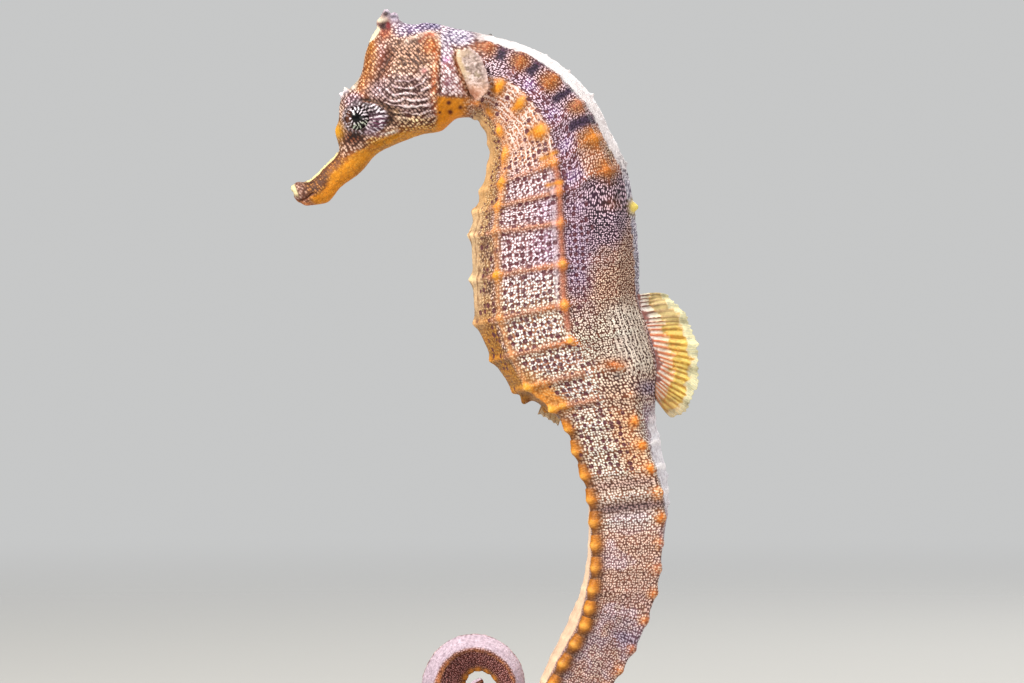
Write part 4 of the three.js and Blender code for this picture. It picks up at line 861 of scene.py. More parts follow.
# ------------------------------------------------ where the fine pattern sits
cell_mm = np.interp(rows, [-10, 11.0, 12.5, 15.5, 17.0, 30.0, 45.4], [1.02, 1.02, 0.98, 0.96, 0.82, 0.78, 0.60])
ph4, pace4 = PH[:, int(4 * M / 16)], PACE[:, int(4 * M / 16)]
ring_n, ring_s = [-14.0, 0.0], [0.0, 14.0 * 3.0]
for n in range(0, 46):
    sel = (ph4 >= n) & (ph4 < n + 1)
    count = max(2.0, round(float((pace4[sel] / cell_mm[sel]).mean()))) if sel.any() else 2.0
    ring_n.append(n + 1.0)
    ring_s.append(ring_s[-1] + count)
PAT = np.stack([np.interp(PH, ring_n, ring_s) + 0.5 + 0.07 * n2, (T - T4) / cell_mm[:, None] + 0.45 + 0.07 * n1, HEAD], -1)


# --------------------------------------------------------------- mesh making
def grid_mesh(name, pts, wrap, cap_first=None, cap_last=None):
    """Quads over an (n, m) grid of points, closed round the second axis, with a fan to one point at each end. Returns
    the vertices, the quads and the fan triangles."""
    n, m = pts.shape[:2]
    v = pts.reshape(-1, 3)
    extra = [p for p in (cap_first, cap_last) if p is not None]
    v = np.concatenate([v] + [np.asarray(p, float)[None] for p in extra])
    i, j = np.meshgrid(np.arange(n - 1), np.arange(m), indexing="ij")
    a = (i * m + j).ravel()
    b = (i * m + (j + 1) % m).ravel()
    quads = np.stack([a, b, b + m, a + m], 1)
    tris, k = [], n * m
    js = np.arange(m)
    if cap_first is not None:
        tris.append(np.stack([(js + 1) % m, js, np.full(m, k)], 1))
        k += 1
    if cap_last is not None:
        o = (n - 1) * m
        tris.append(np.stack([o + js, o + (js + 1) % m, np.full(m, k)], 1))
    tris = np.concatenate(tris) if tris else np.zeros((0, 3), int)
    return v, quads, tris


def fill_mesh(name, v, quads, tris, flip=False):
    me = bpy.data.meshes.new(name)
    nq, nt = len(quads), len(tris)
    if flip:
        quads, tris = quads[:, ::-1], tris[:, ::-1]
    loops = np.concatenate([quads.ravel(), tris.ravel()]).astype(np.int32)
    me.vertices.add(len(v))
    me.vertices.foreach_set("co", (v * MM).astype(np.float32).ravel())
    me.loops.add(len(loops))
    me.loops.foreach_set("vertex_index", loops)
    me.polygons.add(nq + nt)
    starts = np.concatenate([np.arange(nq) * 4, nq * 4 + np.arange(nt) * 3]).astype(np.int32)
    totals = np.concatenate([np.full(nq, 4), np.full(nt, 3)]).astype(np.int32)
    me.polygons.foreach_set("loop_start", starts)
    me.polygons.foreach_set("loop_total", totals)
    me.polygons.foreach_set("use_smooth", np.ones(nq + nt, bool))
    me.update(calc_edges=True)
    me.validate()
    ob = bpy.data.objects.new(name, me)
    scene.collection.objects.link(ob)
    return ob, loops


def add_color(me, name, rgb):
    a = me.color_attributes.new(name, "FLOAT_COLOR", "POINT")
    rgba = np.ones((len(rgb), 4), np.float32)
    rgba[:, : rgb.shape[1]] = rgb
    a.data.foreach_set("color", rgba.ravel())


def add_vector(me, name, xyz):
    a = me.attributes.new(name, "FLOAT_VECTOR", "POINT")
    a.data.foreach_set("vector", np.asarray(xyz, np.float32).ravel())


# snout end: rows that round in to the closed mouth, and the tail's tip
def cap_rows(pts, axis, bulge, count, slit=0.0):
    c = pts.mean(0)
    out = []
    for k in range(1, count + 1):
        f = math.pi / 2 * k / (count + 1)
        ring = c + (pts - c) * math.cos(f) + axis * bulge * math.sin(f)
        out.append(ring)
    return np.array(out), c + axis * bulge


ax0 = centre[0] - centre[3]
ax0 /= np.linalg.norm(ax0)
ax1 = centre[-1] - centre[-4]
ax1 /= np.linalg.norm(ax1)
cap0, end0 = cap_rows(SKIN[0], ax0, 0.55, 9)
cap1, end1 = cap_rows(SKIN[-1], ax1, 0.5, 5)
# the mouth's line across the end of the snout
rel = cap0 - SKIN[0].mean(0)
along = rel @ belly[0]
mouth = gauss(along + 0.25, 0.26) * sstep(np.linalg.norm(rel, axis=2), 0.0, 0.2)
cap0 = cap0 - ax0 * (0.42 * gauss(along + 0.25, 0.26) * (1 - sstep(np.abs(rel[..., 1]), 0.75, 1.25)))[..., None]
end0 = end0 - ax0 * 0.15

full = np.concatenate([cap0[::-1], SKIN, cap1])
def pad(a, v0=None):
    f = np.repeat(a[:1], len(cap0), 0)
    return np.concatenate([f if v0 is None else v0, a, np.repeat(a[-1:], len(cap1), 0)])


mouth_col = (gauss(along + 0.25, 0.30) * (1 - sstep(np.abs(rel[..., 1]), 0.85, 1.3)))[::-1, :, None]
g0 = np.repeat(ground[:1], len(cap0), 0) * (1 - mouth_col) + C(70, 34, 30) * mouth_col
ground_f = pad(ground, g0)
bead_f, pat_f = pad(bead), pad(PAT)
mask_f = pad(np.stack([clamp01(dots), clamp01(amount), clamp01(beadsize)], -1))
fine_bead = clamp01(TRUNK * band(QN, 0.5, 4.2, 0.4) * (1 - sstep(RN, 8.8, 10.2)))
line_f = pad(np.stack([clamp01(lines), fine_bead, clamp01(lines)], -1))
for k in range(len(cap0)):
    pat_f[len(cap0) - 1 - k, :, 0] -= 0.15 * (k + 1)
for k in range(len(cap1)):
    pat_f[len(cap0) + nR + k, :, 0] += 0.15 * (k + 1)

v, quads, tris = grid_mesh("skin", full, True, end0, end1)
vol = np.einsum("ij,ij->i", v[quads[:, 0]], np.cross(v[quads[:, 1]], v[quads[:, 2]])).sum()
skin, loops = fill_mesh("skin", v, quads, tris, flip=vol < 0)
me = skin.data
ends = lambda a: np.concatenate([a.reshape(-1, a.shape[-1]), a[0, :1], a[-1, :1]])
add_color(me, "ground", ends(ground_f))
add_color(me, "bead", ends(bead_f))
add_color(me, "mask", ends(mask_f))
add_color(me, "line", ends(line_f))
add_vector(me, "pat", ends(pat_f))

# bake map: five strips of the body laid side by side
rows_f = np.concatenate([R_SNOUT - np.arange(len(cap0), 0, -1) * 0.02, rows, R_TIP + np.arange(1, len(cap1) + 1) * 0.02])
cuts = [-99, 0.5, 11.5, 20.0, 30.0, 99]
boxes = [(0.0, 53.5, 46, 46), (0.0, 0.0, 66, 53), (66.5, 0.0, 40, 53), (46.5, 53.5, 33, 46), (80.0, 53.5, 26.5, 46)]
FULL_W, EDGE = 107.0, 0.4
mid_line = (full[:, 0] + full[:, M // 4]) / 2
path = np.concatenate([[0], np.cumsum(np.linalg.norm(np.diff(mid_line, axis=0), axis=1))])
nF = len(full)
quad_row = np.repeat(np.arange(nF - 1), M)
chart = np.searchsorted(cuts, rows_f[quad_row] + 1e-9, side="right") - 1
uv = np.zeros((len(loops), 2), np.float32)
lq = loops[: len(quads) * 4].reshape(-1, 4)
for c in range(5):
    sel = np.where(chart == c)[0]
    if not len(sel):
        continue
    r0, r1 = quad_row[sel].min(), quad_row[sel].max() + 1
    bx, by, bw, bh = boxes[c]
    rr = lq[sel] // M
    cc = lq[sel] % M
    qc = (sel % M)[:, None]
    cc = np.where((qc == M - 1) & (cc == 0), M, cc)
    # the seam runs along the belly
    cc = (cc + M // 2)
    cc = np.where(qc + M // 2 >= M, cc - M, cc)
    uu = bx + EDGE + (bw - 2 * EDGE) * cc / M
    vv = by + EDGE + (bh - 2 * EDGE) * (path[rr] - path[r0]) / (path[r1] - path[r0])
    uv[: len(quads) * 4].reshape(-1, 4, 2)[sel] = np.stack([uu, vv], -1) / FULL_W
lt = loops[len(quads) * 4:].reshape(-1, 3)
for tri_i in range(2):
    sel = np.arange(tri_i * M, (tri_i + 1) * M)
    bx, by, bw, bh = boxes[0] if tri_i == 0 else boxes[4]
    th = 2 * np.pi * np.arange(M + 1) / M
    cx_, cy_ = (bx + bw - 1.2, by + bh + 3.2) if tri_i == 0 else (bx + bw - 1.2, by + bh + 3.2)
    a3 = lt[sel]
    jj = np.where(a3 < nF * M, a3 % M, -1)
    pos = np.where(jj[..., None] >= 0, np.stack([cx_ + 0.9 * np.cos(th[jj]), cy_ + 0.9 * np.sin(th[jj])], -1),
                   np.array([cx_, cy_]))
    uv[len(quads) * 4:].reshape(-1, 3, 2)[sel] = pos / FULL_W
layer = me.uv_layers.new(name="OFBake")
layer.data.foreach_set("uv", uv.ravel())


# ----------------------------------------------------------------- materials
def new_material(name):
    m = bpy.data.materials.new(name)
    m.use_nodes = True
    nt = m.node_tree
    nt.nodes.clear()
    out = nt.nodes.new("ShaderNodeOutputMaterial")
    bsdf = nt.nodes.new("ShaderNodeBsdfPrincipled")
    nt.links.new(bsdf.outputs[0], out.inputs[0])
    return m, nt, bsdf


class Nodes:
    def __init__(self, nt):
        self.nt = nt

    def link(self, a, b):
        self.nt.links.new(a, b)

    def attr(self, name):
        n = self.nt.nodes.new("ShaderNodeAttribute")
        n.attribute_name = name
        return n

    def math(self, op, a, b=None, c=None, clamp=False):
        n = self.nt.nodes.new("ShaderNodeMath")
        n.operation, n.use_clamp = op, clamp
        for k, x in enumerate((a, b, c)):
            if x is None:
                continue
            if isinstance(x, (int, float)):
                n.inputs[k].default_value = x
            else:
                self.link(x, n.inputs[k])
        return n.outputs[0]

    def ramp(self, x, lo, hi, a=0.0, b=1.0):
        n = self.nt.nodes.new("ShaderNodeMapRange")
        n.interpolation_type = "SMOOTHSTEP"
        for k, val in enumerate((x, lo, hi, a, b)):
            if isinstance(val, (int, float)):
                n.inputs[k].default_value = val
            else:
                self.link(val, n.inputs[k])
        return n.outputs[0]

    def mix(self, f, a, b, kind="RGBA", blend="MIX"):
        n = self.nt.nodes.new("ShaderNodeMix")
        n.data_type = kind
        if kind == "RGBA":
            n.blend_type = blend
        ins = [s for s in n.inputs if s.enabled]
        outs = [s for s in n.outputs if s.enabled]
        for s, x in zip(ins, (f, a, b)):
            if isinstance(x, (int, float)):
                s.default_value = x
            elif isinstance(x, (tuple, list, np.ndarray)):
                s.default_value = (*[float(y) for y in x], 1.0)
            else:
                self.link(x, s)
        return outs[0]

    def voronoi(self, vec, scale, random=1.0, dims="2D", feature="F1"):
        n = self.nt.nodes.new("ShaderNodeTexVoronoi")
        n.voronoi_dimensions, n.feature = dims, feature
        self.link(vec, n.inputs["Vector"])
        n.inputs["Scale"].default_value = scale
        n.inputs["Randomness"].default_value = random
        return n

    def noise(self, vec, scale, detail=2.0, rough=0.5, dims="3D"):
        n = self.nt.nodes.new("ShaderNodeTexNoise")
        n.noise_dimensions = dims
        if vec is not None:
            self.link(vec, n.inputs["Vector"])
        n.inputs["Scale"].default_value = scale
        n.inputs["Detail"].default_value = detail
        n.inputs["Roughness"].default_value = rough
        return n.outputs[0]

    def objcoord(self):
        return self.nt.nodes.new("ShaderNodeTexCoord").outputs["Object"]

    def bump(self, height, distance, strength=1.0, normal=None):
        n = self.nt.nodes.new("ShaderNodeBump")
        n.inputs["Strength"].default_value = strength
        n.inputs["Distance"].default_value = distance
        self.link(height, n.inputs["Height"])
        if normal is not None:
            self.link(normal, n.inputs["Normal"])
        return n.outputs[0]

    def split(self, col):
        n = self.nt.nodes.new("ShaderNodeSeparateColor")
        self.link(col, n.inputs[0])
        return n.outputs

    def combine(self, x, y, z=0.0):
        n = self.nt.nodes.new("ShaderNodeCombineXYZ")
        for k, val in enumerate((x, y, z)):
            if isinstance(val, (int, float)):
                n.inputs[k].default_value = val
            else:
                self.link(val, n.inputs[k])
        return n.outputs[0]


def skin_material():
    m, nt, bsdf = new_material("seahorse_skin")
    k = Nodes(nt)
    gcol, bcol = k.attr("ground").outputs["Color"], k.attr("bead").outputs["Color"]
    pat = k.attr("pat").outputs["Vector"]
    msk = k.split(k.attr("mask").outputs["Color"])
    line_col = k.split(k.attr("line").outputs["Color"])
    line_amt, fine_amt = line_col[0], line_col[1]
    obj = k.objcoord()
    P_, S__, Z_ = msk[0], msk[1], msk[2]
    sep = nt.nodes.new("ShaderNodeSeparateXYZ")
    k.link(pat, sep.inputs[0])
    on_head = sep.outputs[2]
    # pale beads: laid along the rings on the body, all ways on the head
    small = k.voronoi(pat, 2.35, 0.72)
    turn = nt.nodes.new("ShaderNodeMapping")
    turn.vector_type = "TEXTURE"
    turn.inputs["Rotation"].default_value = (0.0, math.radians(48), 0.0)
    turn.inputs["Scale"].default_value = (1.42, 1.0, 0.92)
    k.link(obj, turn.inputs[0])
    round_ = k.voronoi(turn.outputs[0], 1.0 / 0.00044, 0.55, dims="3D")
    tiny = k.voronoi(pat, 2.95, 0.72)
    close = k.mix(fine_amt, small.outputs["Distance"], tiny.outputs["Distance"], kind="FLOAT")
    sd = k.mix(on_head, close, round_.outputs["Distance"], kind="FLOAT")
    scol = k.split(k.mix(on_head, small.outputs["Color"], round_.outputs["Color"]))
    lim = k.math("MULTIPLY_ADD", scol[0], 0.12, k.math("MULTIPLY_ADD", Z_, 0.20, 0.21))
    lim = k.math("MULTIPLY_ADD", on_head, 0.14, lim)
    beadm = k.ramp(sd, k.math("MULTIPLY", lim, 0.45), k.math("ADD", lim, 0.12), 1.0, 0.0)
    # larger dark dots
    big = k.voronoi(pat, 1.0, 0.42)
    cell = k.split(big.outputs["Color"])
    dlim = k.math("MULTIPLY_ADD", cell[1], 0.20, 0.17)
    dotm = k.ramp(big.outputs["Distance"], k.math("SUBTRACT", dlim, 0.06), k.math("ADD", dlim, 0.09), 1.0, 0.0)
    dotm = k.math("MULTIPLY", dotm, k.ramp(k.math("SUBTRACT", k.math("MULTIPLY", P_, 1.15), cell[2]), 0.0, 0.15))
    # pale wavy lines along the body
    wav = k.noise(pat, 0.9, 2.0, 0.5, dims="2D")
    ph = k.math("MULTIPLY_ADD", wav, 7.0, k.math("MULTIPLY", sep.outputs[1], 2 * math.pi * 1.28))
    ln = k.ramp(k.math("SINE", ph), 0.15, 0.85)
    ln = k.math("MULTIPLY", ln, line_amt)
    fine = k.noise(obj, 5200.0, 2.0, 0.6)
    broad = k.noise(obj, 320.0, 2.0, 0.5)
    grain = k.noise(obj, 1900.0, 3.0, 0.62)
    # colours
    gr = k.mix(k.ramp(grain, 0.30, 0.70), (0.50, 0.44, 0.44), (1.12, 1.08, 1.04))
    g2 = k.mix(k.ramp(S__, 0.0, 0.6, 0.22, 1.0), gcol, k.mix(1.0, gcol, gr, blend="MULTIPLY"))
    b2 = k.mix(1.0, bcol, k.mix(scol[1], (0.92, 0.90, 0.90), (1.16, 1.15, 1.14)), blend="MULTIPLY")
    shown = k.math("MULTIPLY", beadm, S__)
    shown = k.math("MAXIMUM", shown, ln)
    shown = k.math("MULTIPLY", shown, k.ramp(scol[2], 0.0, 0.30, 0.65, 1.0))
    col = k.mix(shown, g2, b2)
    col = k.mix(k.math("MULTIPLY", dotm, 0.92), col, tuple(C(96, 40, 52)))
    col = k.mix(1.0, col, k.mix(k.ramp(broad, 0.3, 0.7), (0.90, 0.88, 0.88), (1.06, 1.05, 1.04)), blend="MULTIPLY")
    col = k.mix(0.45, col, k.mix(k.ramp(fine, 0.25, 0.75), (0.78, 0.76, 0.76), (1.16, 1.16, 1.16)), blend="MULTIPLY")
    k.link(col, bsdf.inputs["Base Color"])
    hgt = k.math("SUBTRACT", shown, k.math("MULTIPLY", dotm, 0.9))
    hgt = k.math("MULTIPLY_ADD", grain, 0.6, hgt)
    hgt = k.math("MULTIPLY_ADD", fine, 0.25, hgt)
    k.link(k.bump(hgt, 0.00013, 0.9), bsdf.inputs["Normal"])
    rgh = k.ramp(k.math("MULTIPLY_ADD", broad, 0.5, k.math("MULTIPLY", fine, 0.5)), 0.3, 0.7, 0.46, 0.66)
    k.link(k.math("MULTIPLY_ADD", shown, -0.12, rgh), bsdf.inputs["Roughness"])
    bsdf.inputs["Specular IOR Level"].default_value = 0.36
    return m


skin.data.materials.append(skin_material())
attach(skin, "root")
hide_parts("snout", "head", "gill_cover_left", "gill_cover_right", "coronet", "neck", "trunk_upper",
            "trunk_middle", "trunk_lower", *[f"tail_{i}" for i in range(1, 9)])


# ---------------------------------------------------------------------- eyes
def vertex_material(name, rough, spec, fine_scale=3000.0, fine_mix=0.3, bump_d=0.00003, coat=0.0, alpha=None):
    m, nt, bsdf = new_material(name)
    k = Nodes(nt)
    obj = k.objcoord()
    c = k.attr("tint").outputs["Color"]
    fine = k.noise(obj, fine_scale, 3.0, 0.6)
    c = k.mix(fine_mix, c, k.mix(k.ramp(fine, 0.25, 0.75), (0.7, 0.68, 0.66), (1.25, 1.25, 1.22)), blend="MULTIPLY")
    k.link(c, bsdf.inputs["Base Color"])
    k.link(k.ramp(fine, 0.2, 0.8, rough - 0.06, rough + 0.08), bsdf.inputs["Roughness"])
    k.link(k.bump(fine, bump_d, 0.5), bsdf.inputs["Normal"])
    bsdf.inputs["Specular IOR Level"].default_value = spec
    bsdf.inputs["Coat Weight"].default_value = coat
    bsdf.inputs["Coat Roughness"].default_value = 0.05
    if alpha:
        k.link(k.split(k.attr("thin").outputs["Color"])[0], bsdf.inputs["Alpha"])
    return m


eye_mat = vertex_material("eye_gloss", 0.20, 0.22, 2500.0, 0.12, 0.00001, coat=0.06)
for s, node in ((-1, "eye_left"), (1, "eye_right")):
    nu, nv = 160, 90
    th = np.linspace(0, math.pi, nv + 2)[1:-1]
    ph = np.arange(nu) * 2 * math.pi / nu
    TH, PH = np.meshgrid(th, ph, indexing="ij")
    rad = EYE_R + 0.10 * gauss(TH * EYE_R, 0.75)              # slight bulge of the cornea
    ex, ez, ey = rad * np.sin(TH) * np.cos(PH), rad * np.sin(TH) * np.sin(PH), rad * np.cos(TH)
    pts = np.stack([EYE_X + ex, s * (EYE_Y + ey), EYE_Z + ez], -1)
    e0 = (EYE_X, s * (EYE_Y + EYE_R + 0.10), EYE_Z)
    e1 = (EYE_X, s * (EYE_Y - EYE_R), EYE_Z)
    ev, eq, et = grid_mesh(node, pts, True, e0, e1)
    vol = np.einsum("ij,ij->i", ev[eq[:, 0]], np.cross(ev[eq[:, 1]], ev[eq[:, 2]])).sum()
    eye, _ = fill_mesh(node + "ball", ev, eq, et, flip=vol < 0)
    rr = TH * EYE_R                                           # mm from the pole
    ang = np.arctan2(-ez, ex)
    wobble = fbm(np.stack([ex, ez, ey], -1) * 2.0, 81, 2)
    dash = eye_dashes(ex, ez)
    side_r = np.hypot(ex, ez)
    front = sstep(-ex + 0.3 * wobble, 0.5, 1.4)[..., None]    # browner towards the snout
    tint = np.ones(TH.shape + (3,)) * C(18, 9, 13)
    tint = tint * (1 - front) + C(86, 50, 36) * front
    amount_ = (dash * (1 - 0.75 * front[..., 0] * sstep(side_r, 0.9, 1.4)))[..., None]
    # dashes low on the eye turn greenish: painted reflection
    low_ = sstep(-ez + 0.4 * ex, 0.5, 1.1)[..., None]
    tint = tint * (1 - amount_) + (C(242, 228, 238) * (1 - low_) + C(212, 220, 200) * low_) * amount_
    pupil = (1 - sstep(np.hypot(ex / 1.10, ez / 0.95) + 0.14 * wobble, 0.58, 0.72))[..., None]
    tint = tint * (1 - pupil) + C(4, 3, 5) * pupil
    flat = tint.reshape(-1, 3)
    add_color(eye.data, "tint", np.concatenate([flat, [C(6, 5, 7)], [C(54, 32, 40)]]))
    eye.data.materials.append(eye_mat)
    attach(eye, "root")
    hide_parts(node)


# ---------------------------------------------------------------------- fins
def fin_piece(name, mid, nrm, half, tint, thin=None):
    """Closed plate over an (n, m) grid: mid surface, its normals and half thickness."""
    n, m = mid.shape[:2]
    top = mid + nrm * half[..., None]
    bot = mid - nrm * half[..., None]
    loop = np.concatenate([top, bot[:, ::-1]], 1)             # round the second axis
    v, qd, _ = grid_mesh(name, loop, True)
    caps = []
    for i, flip in ((0, True), (n - 1, False)):
        for j in range(m - 1):
            a = i * 2 * m
            q4 = [a + j, a + j + 1, a + 2 * m - 2 - j, a + 2 * m - 1 - j]
            caps.append(q4[::-1] if flip else q4)
    qd = np.concatenate([qd, np.array(caps)])
    vol = (np.einsum("ij,ij->i", v[qd[:, 0]], np.cross(v[qd[:, 1]], v[qd[:, 2]])).sum()
           + np.einsum("ij,ij->i", v[qd[:, 0]], np.cross(v[qd[:, 2]], v[qd[:, 3]])).sum())
    ob, _ = fill_mesh(name, v, qd, np.zeros((0, 3), int), flip=vol < 0)
    two = lambda a: np.concatenate([a, a[:, ::-1]], 1).reshape(-1, a.shape[-1])
    add_color(ob.data, "tint", two(tint))
    if thin is not None:
        add_color(ob.data, "thin", two(np.repeat(thin[..., None], 3, -1)))
    return ob


def surf_normals(p):
    n = np.cross(np.gradient(p, axis=0), np.gradient(p, axis=1))
    return n / (np.linalg.norm(n, axis=2, keepdims=True) + 1e-12)


# dorsal fin
RAYS = 23
nu, nv = ((RAYS * 16, 56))
u = np.linspace(0, 1, nu + 1)[:, None] * np.ones((1, nv))
vv = np.linspace(0, 1, nv)[None] * np.ones((nu + 1, 1))
fr = 7.95 + 3.15 * u
c_, b_, l_, d_, w_ = frame_at(fr.ravel())
base = (c_ - b_ * (d_ * 0.955)[:, None]).reshape(u.shape + (3,))
DU = [0, .1, .2, .3, .4, .5, .6, .7, .8, .9, 1]
tip_x = hermite(DU, [668, 677, 686, 693, 697.5, 700, 700.5, 698, 693, 686, 672], u.ravel()).reshape(u.shape)
tip_z = hermite(DU, [294, 303, 313.5, 326, 340, 356, 373, 388, 401, 412, 419], u.ravel()).reshape(u.shape)
tip = np.stack([(tip_x - GX0) * UNIT, 0 * u, GZ0 - tip_z * UNIT], -1)
un = vnoise(np.stack([u * 9, 0 * u, 0 * u + 5], -1), 90)
fine_u = vnoise(np.stack([u * 70, 0 * u, 0 * u + 5], -1), 92)
drift = 0.45 * vnoise(np.stack([u * 7, vv * 1.6, 0 * u], -1), 93) * sstep(vv, 0.1, 0.7)
rayphase = u * RAYS + 0.5 * un + drift
ray_c = np.cos(2 * np.pi * rayphase)                           # 1 on a ray
split = np.cos(4 * np.pi * rayphase + 0.8)
scal = 1 - 0.030 * (0.5 - 0.5 * ray_c) - 0.055 * np.abs(np.sin(u * 12.5 + 0.9 + 0.5 * un)) + 0.018 * fine_u
k_ = vv * (1 + (scal - 1) * sstep(vv, 0.55, 1.0))
mid = base + (tip - base) * k_[..., None]
mid[..., 2] += 0.45 * np.sin(np.pi * vv) * (0.5 - u)           # rays bow a little
mid[..., 1] += (0.36 * np.sin(u * 21.0 + 1.0 + 1.3 * un) + 0.13 * np.sin(u * 53.0)) * sstep(vv, 0.25, 1.0) * 1.1
nrm = surf_normals(mid)
half_t = 0.80 * (1 - sstep(vv, 0.06, 0.42)) + 0.09 + 0.08 * sstep(ray_c, 0.2, 1.0) * sstep(vv, 0.15, 0.4) * (1 - 0.7 * vv)
half_t += 0.10 * ray_c * (1 - sstep(vv, 0.3, 0.6)) * sstep(vv, 0.02, 0.12)
half_t *= 1 - 0.65 * sstep(vv, 0.9, 1.0)
fn = fbm(mid * 1.3, 91, 3)
fn2 = vnoise(mid * 3.1, 96)


def over(t, mask, color):
    mk = clamp01(mask)[..., None]
    return t * (1 - mk) + np.asarray(color) * mk


vn = vv + 0.16 * fn + 0.05 * fn2 + 0.05 * un
upper, lower = 1 - sstep(u + 0.05 * fn, 0.20, 0.36), sstep(u + 0.05 * fn, 0.80, 0.95)
pale, dark = sstep(-ray_c + 0.7 * fn2, -0.05, 0.7), sstep(ray_c + 0.7 * fn2, 0.1, 0.8)
tint = np.ones(u.shape + (3,)) * C(222, 176, 148)
z1 = 1 - sstep(vn, 0.34, 0.46)
tint = over(tint, z1 * dark, C(206, 116, 84))
tint = over(tint, z1 * pale, C(246, 226, 220))
tint = over(tint, z1 * dark * upper, C(112, 78, 70))
tint = over(tint, z1 * (1 - dark) * upper * 0.8, C(226, 218, 216))
tint = over(tint, (1 - sstep(vn, 0.03, 0.12)), C(132, 82, 76))
z2 = band(vn, 0.40, 0.76, 0.05)
tint = over(tint, z2, C(204, 164, 84))
tint = over(tint, z2 * dark * 0.85, C(158, 108, 34))
tint = over(tint, z2 * pale * 0.7, C(238, 212, 140))
tint = over(tint, z2 * sstep(fn2, 0.1, 0.5) * sstep(0.62 - vn, 0, 0.1) * 0.55, C(206, 112, 46))
tint = over(tint, z2 * upper * 0.65, C(176, 158, 140))
z3 = sstep(vn, 0.74, 0.84)
tint = over(tint, z3, C(236, 228, 212))
tint = over(tint, z3 * sstep(split, 0.3, 0.9) * 0.45, C(188, 170, 140))
tint = over(tint, lower * 0.5, C(176, 126, 84))
tint = tint * (1 - 0.30 * sstep(fn, -0.1, 0.5))[..., None] * (1 + sstep(vv, 0.1, 0.4)[..., None] * (np.array([1.02, 1.05, 0.80]) - 1))
thin = 1 - (0.10 + 0.34 * sstep(-split, -0.2, 0.6)) * sstep(vn, 0.70, 0.94)
dorsal = fin_piece("dorsal_fin_rays", mid, nrm, half_t, tint, thin)
fin_mat = vertex_material("fin_membrane", 0.38, 0.45, 3600.0, 0.35, 0.00004, alpha=True)
dorsal.data.materials.append(fin_mat)
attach(dorsal, "root"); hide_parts("dorsal_fin")

# pectoral fins
nu, nv = ((220, 40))
u = np.linspace(0, 1, nu + 1)[:, None] * np.ones((1, nv))
vv = np.linspace(0, 1, nv)[None] * np.ones((nu + 1, 1))
PU = [0, .2, .4, .6, .8, 1]
at = lambda ys: hermite(PU, ys, u.ravel()).reshape(u.shape)
bx, bz = (at([459.5, 458.5, 462, 466, 469.5, 473]) - GX0) * UNIT, GZ0 - UNIT * at([51, 60, 70, 79, 87, 95])
exx, ezz = (at([470, 480, 486, 489, 488.5, 479]) - GX0) * UNIT, GZ0 - UNIT * at([50, 58.5, 69, 80, 92, 103])
un = vnoise(np.stack([u * 8, 0 * u, 0 * u + 3], -1), 97)
ray_c = np.cos(2 * np.pi * (u * 17 + 0.4 * un))
for s, node in ((-1, "pectoral_fin_left"), (1, "pectoral_fin_right")):
    k = vv * (1 - (0.012 * (0.5 - 0.5 * ray_c) + 0.06 * (0.5 + 0.5 * un)) * sstep(vv, .6, 1))
    mid = np.stack([bx + (exx - bx) * k, np.zeros_like(u), bz + (ezz - bz) * k - 0.35 * np.sin(np.pi * vv)], -1)
    fold = np.sin(np.pi * clamp01(vv * 1.25)) * (0.5 - 0.35 * np.cos(2 * np.pi * u))
    mid[..., 1] = s * (4.0 + 0.5 * np.sin(np.pi * u) + 2.2 * vv**0.8 - 0.45 * fold + 0.12 * np.cos(u * 17 + 3 * un) * vv + 0.05 * vnoise(np.stack([u * 22, vv * 5, 0 * u], -1), 101) * vv)
    nrm = surf_normals(mid)
    half_t = 0.12 + 0.015 * sstep(ray_c, 0.0, 1.0) * (1 - 0.6 * vv) + 0.25 * (1 - sstep(vv, 0, 0.2))
    fn = fbm(mid * 1.4, 95, 3)
    cloud = fbm(mid * 0.9, 99, 3)
    net = vnoise(mid * np.array([3.4, 1.0, 3.4]), 98) + 0.6 * vnoise(mid * np.array([7.0, 2.0, 7.0]), 94)
    tint = np.ones(u.shape + (3,)) * C(206, 196, 190)
    tint = over(tint, sstep(net, 0.0, 0.5) * 0.85, C(142, 128, 120))
    tint = over(tint, sstep(-net, 0.05, 0.6) * 0.85, C(255, 250, 250))
    tint = over(tint, sstep(ray_c + 0.8 * fn, 0.3, 1.1) * 0.22 * sstep(vv, 0.15, 0.4), C(140, 122, 124))
    tint = over(tint, sstep(cloud, 0.0, 0.4) * 0.45, C(176, 172, 142))
    tint = over(tint, (1 - sstep(vv + 0.14 * fn + 0.14 * cloud, 0.04, 0.30)) * (1 - sstep(u, 0.40, 0.75)) * 0.85, C(222, 204, 160))
    tint = over(tint, (1 - sstep(u + 0.10 * fn, 0.05, 0.20)) * 0.7, C(222, 208, 184))
    tint = over(tint, sstep(vv + 0.1 * cloud, 0.82, 0.97) * 0.6, C(242, 228, 230))
    tint = over(tint, sstep(u + 0.12 * cloud, 0.55, 0.80) * 0.6, C(226, 184, 152))
    # brown toward the fin's lower end near its base: painted shade
    tint = over(tint, sstep(u + 0.12 * cloud, 0.74, 0.92) * sstep(0.8 - vv, 0, 0.3) * 0.7, C(160, 104, 76))
    tint = tint * np.array([0.80, 0.68, 0.66])
    thin = 1 - (0.08 + 0.30 * sstep(-ray_c, 0.0, 0.8)) * sstep(vv, 0.6, 1.0)
    fin = fin_piece(node + "_rays", mid, nrm, half_t, tint, thin)
    fin.data.materials.append(fin_mat)
    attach(fin, "root"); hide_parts(node)

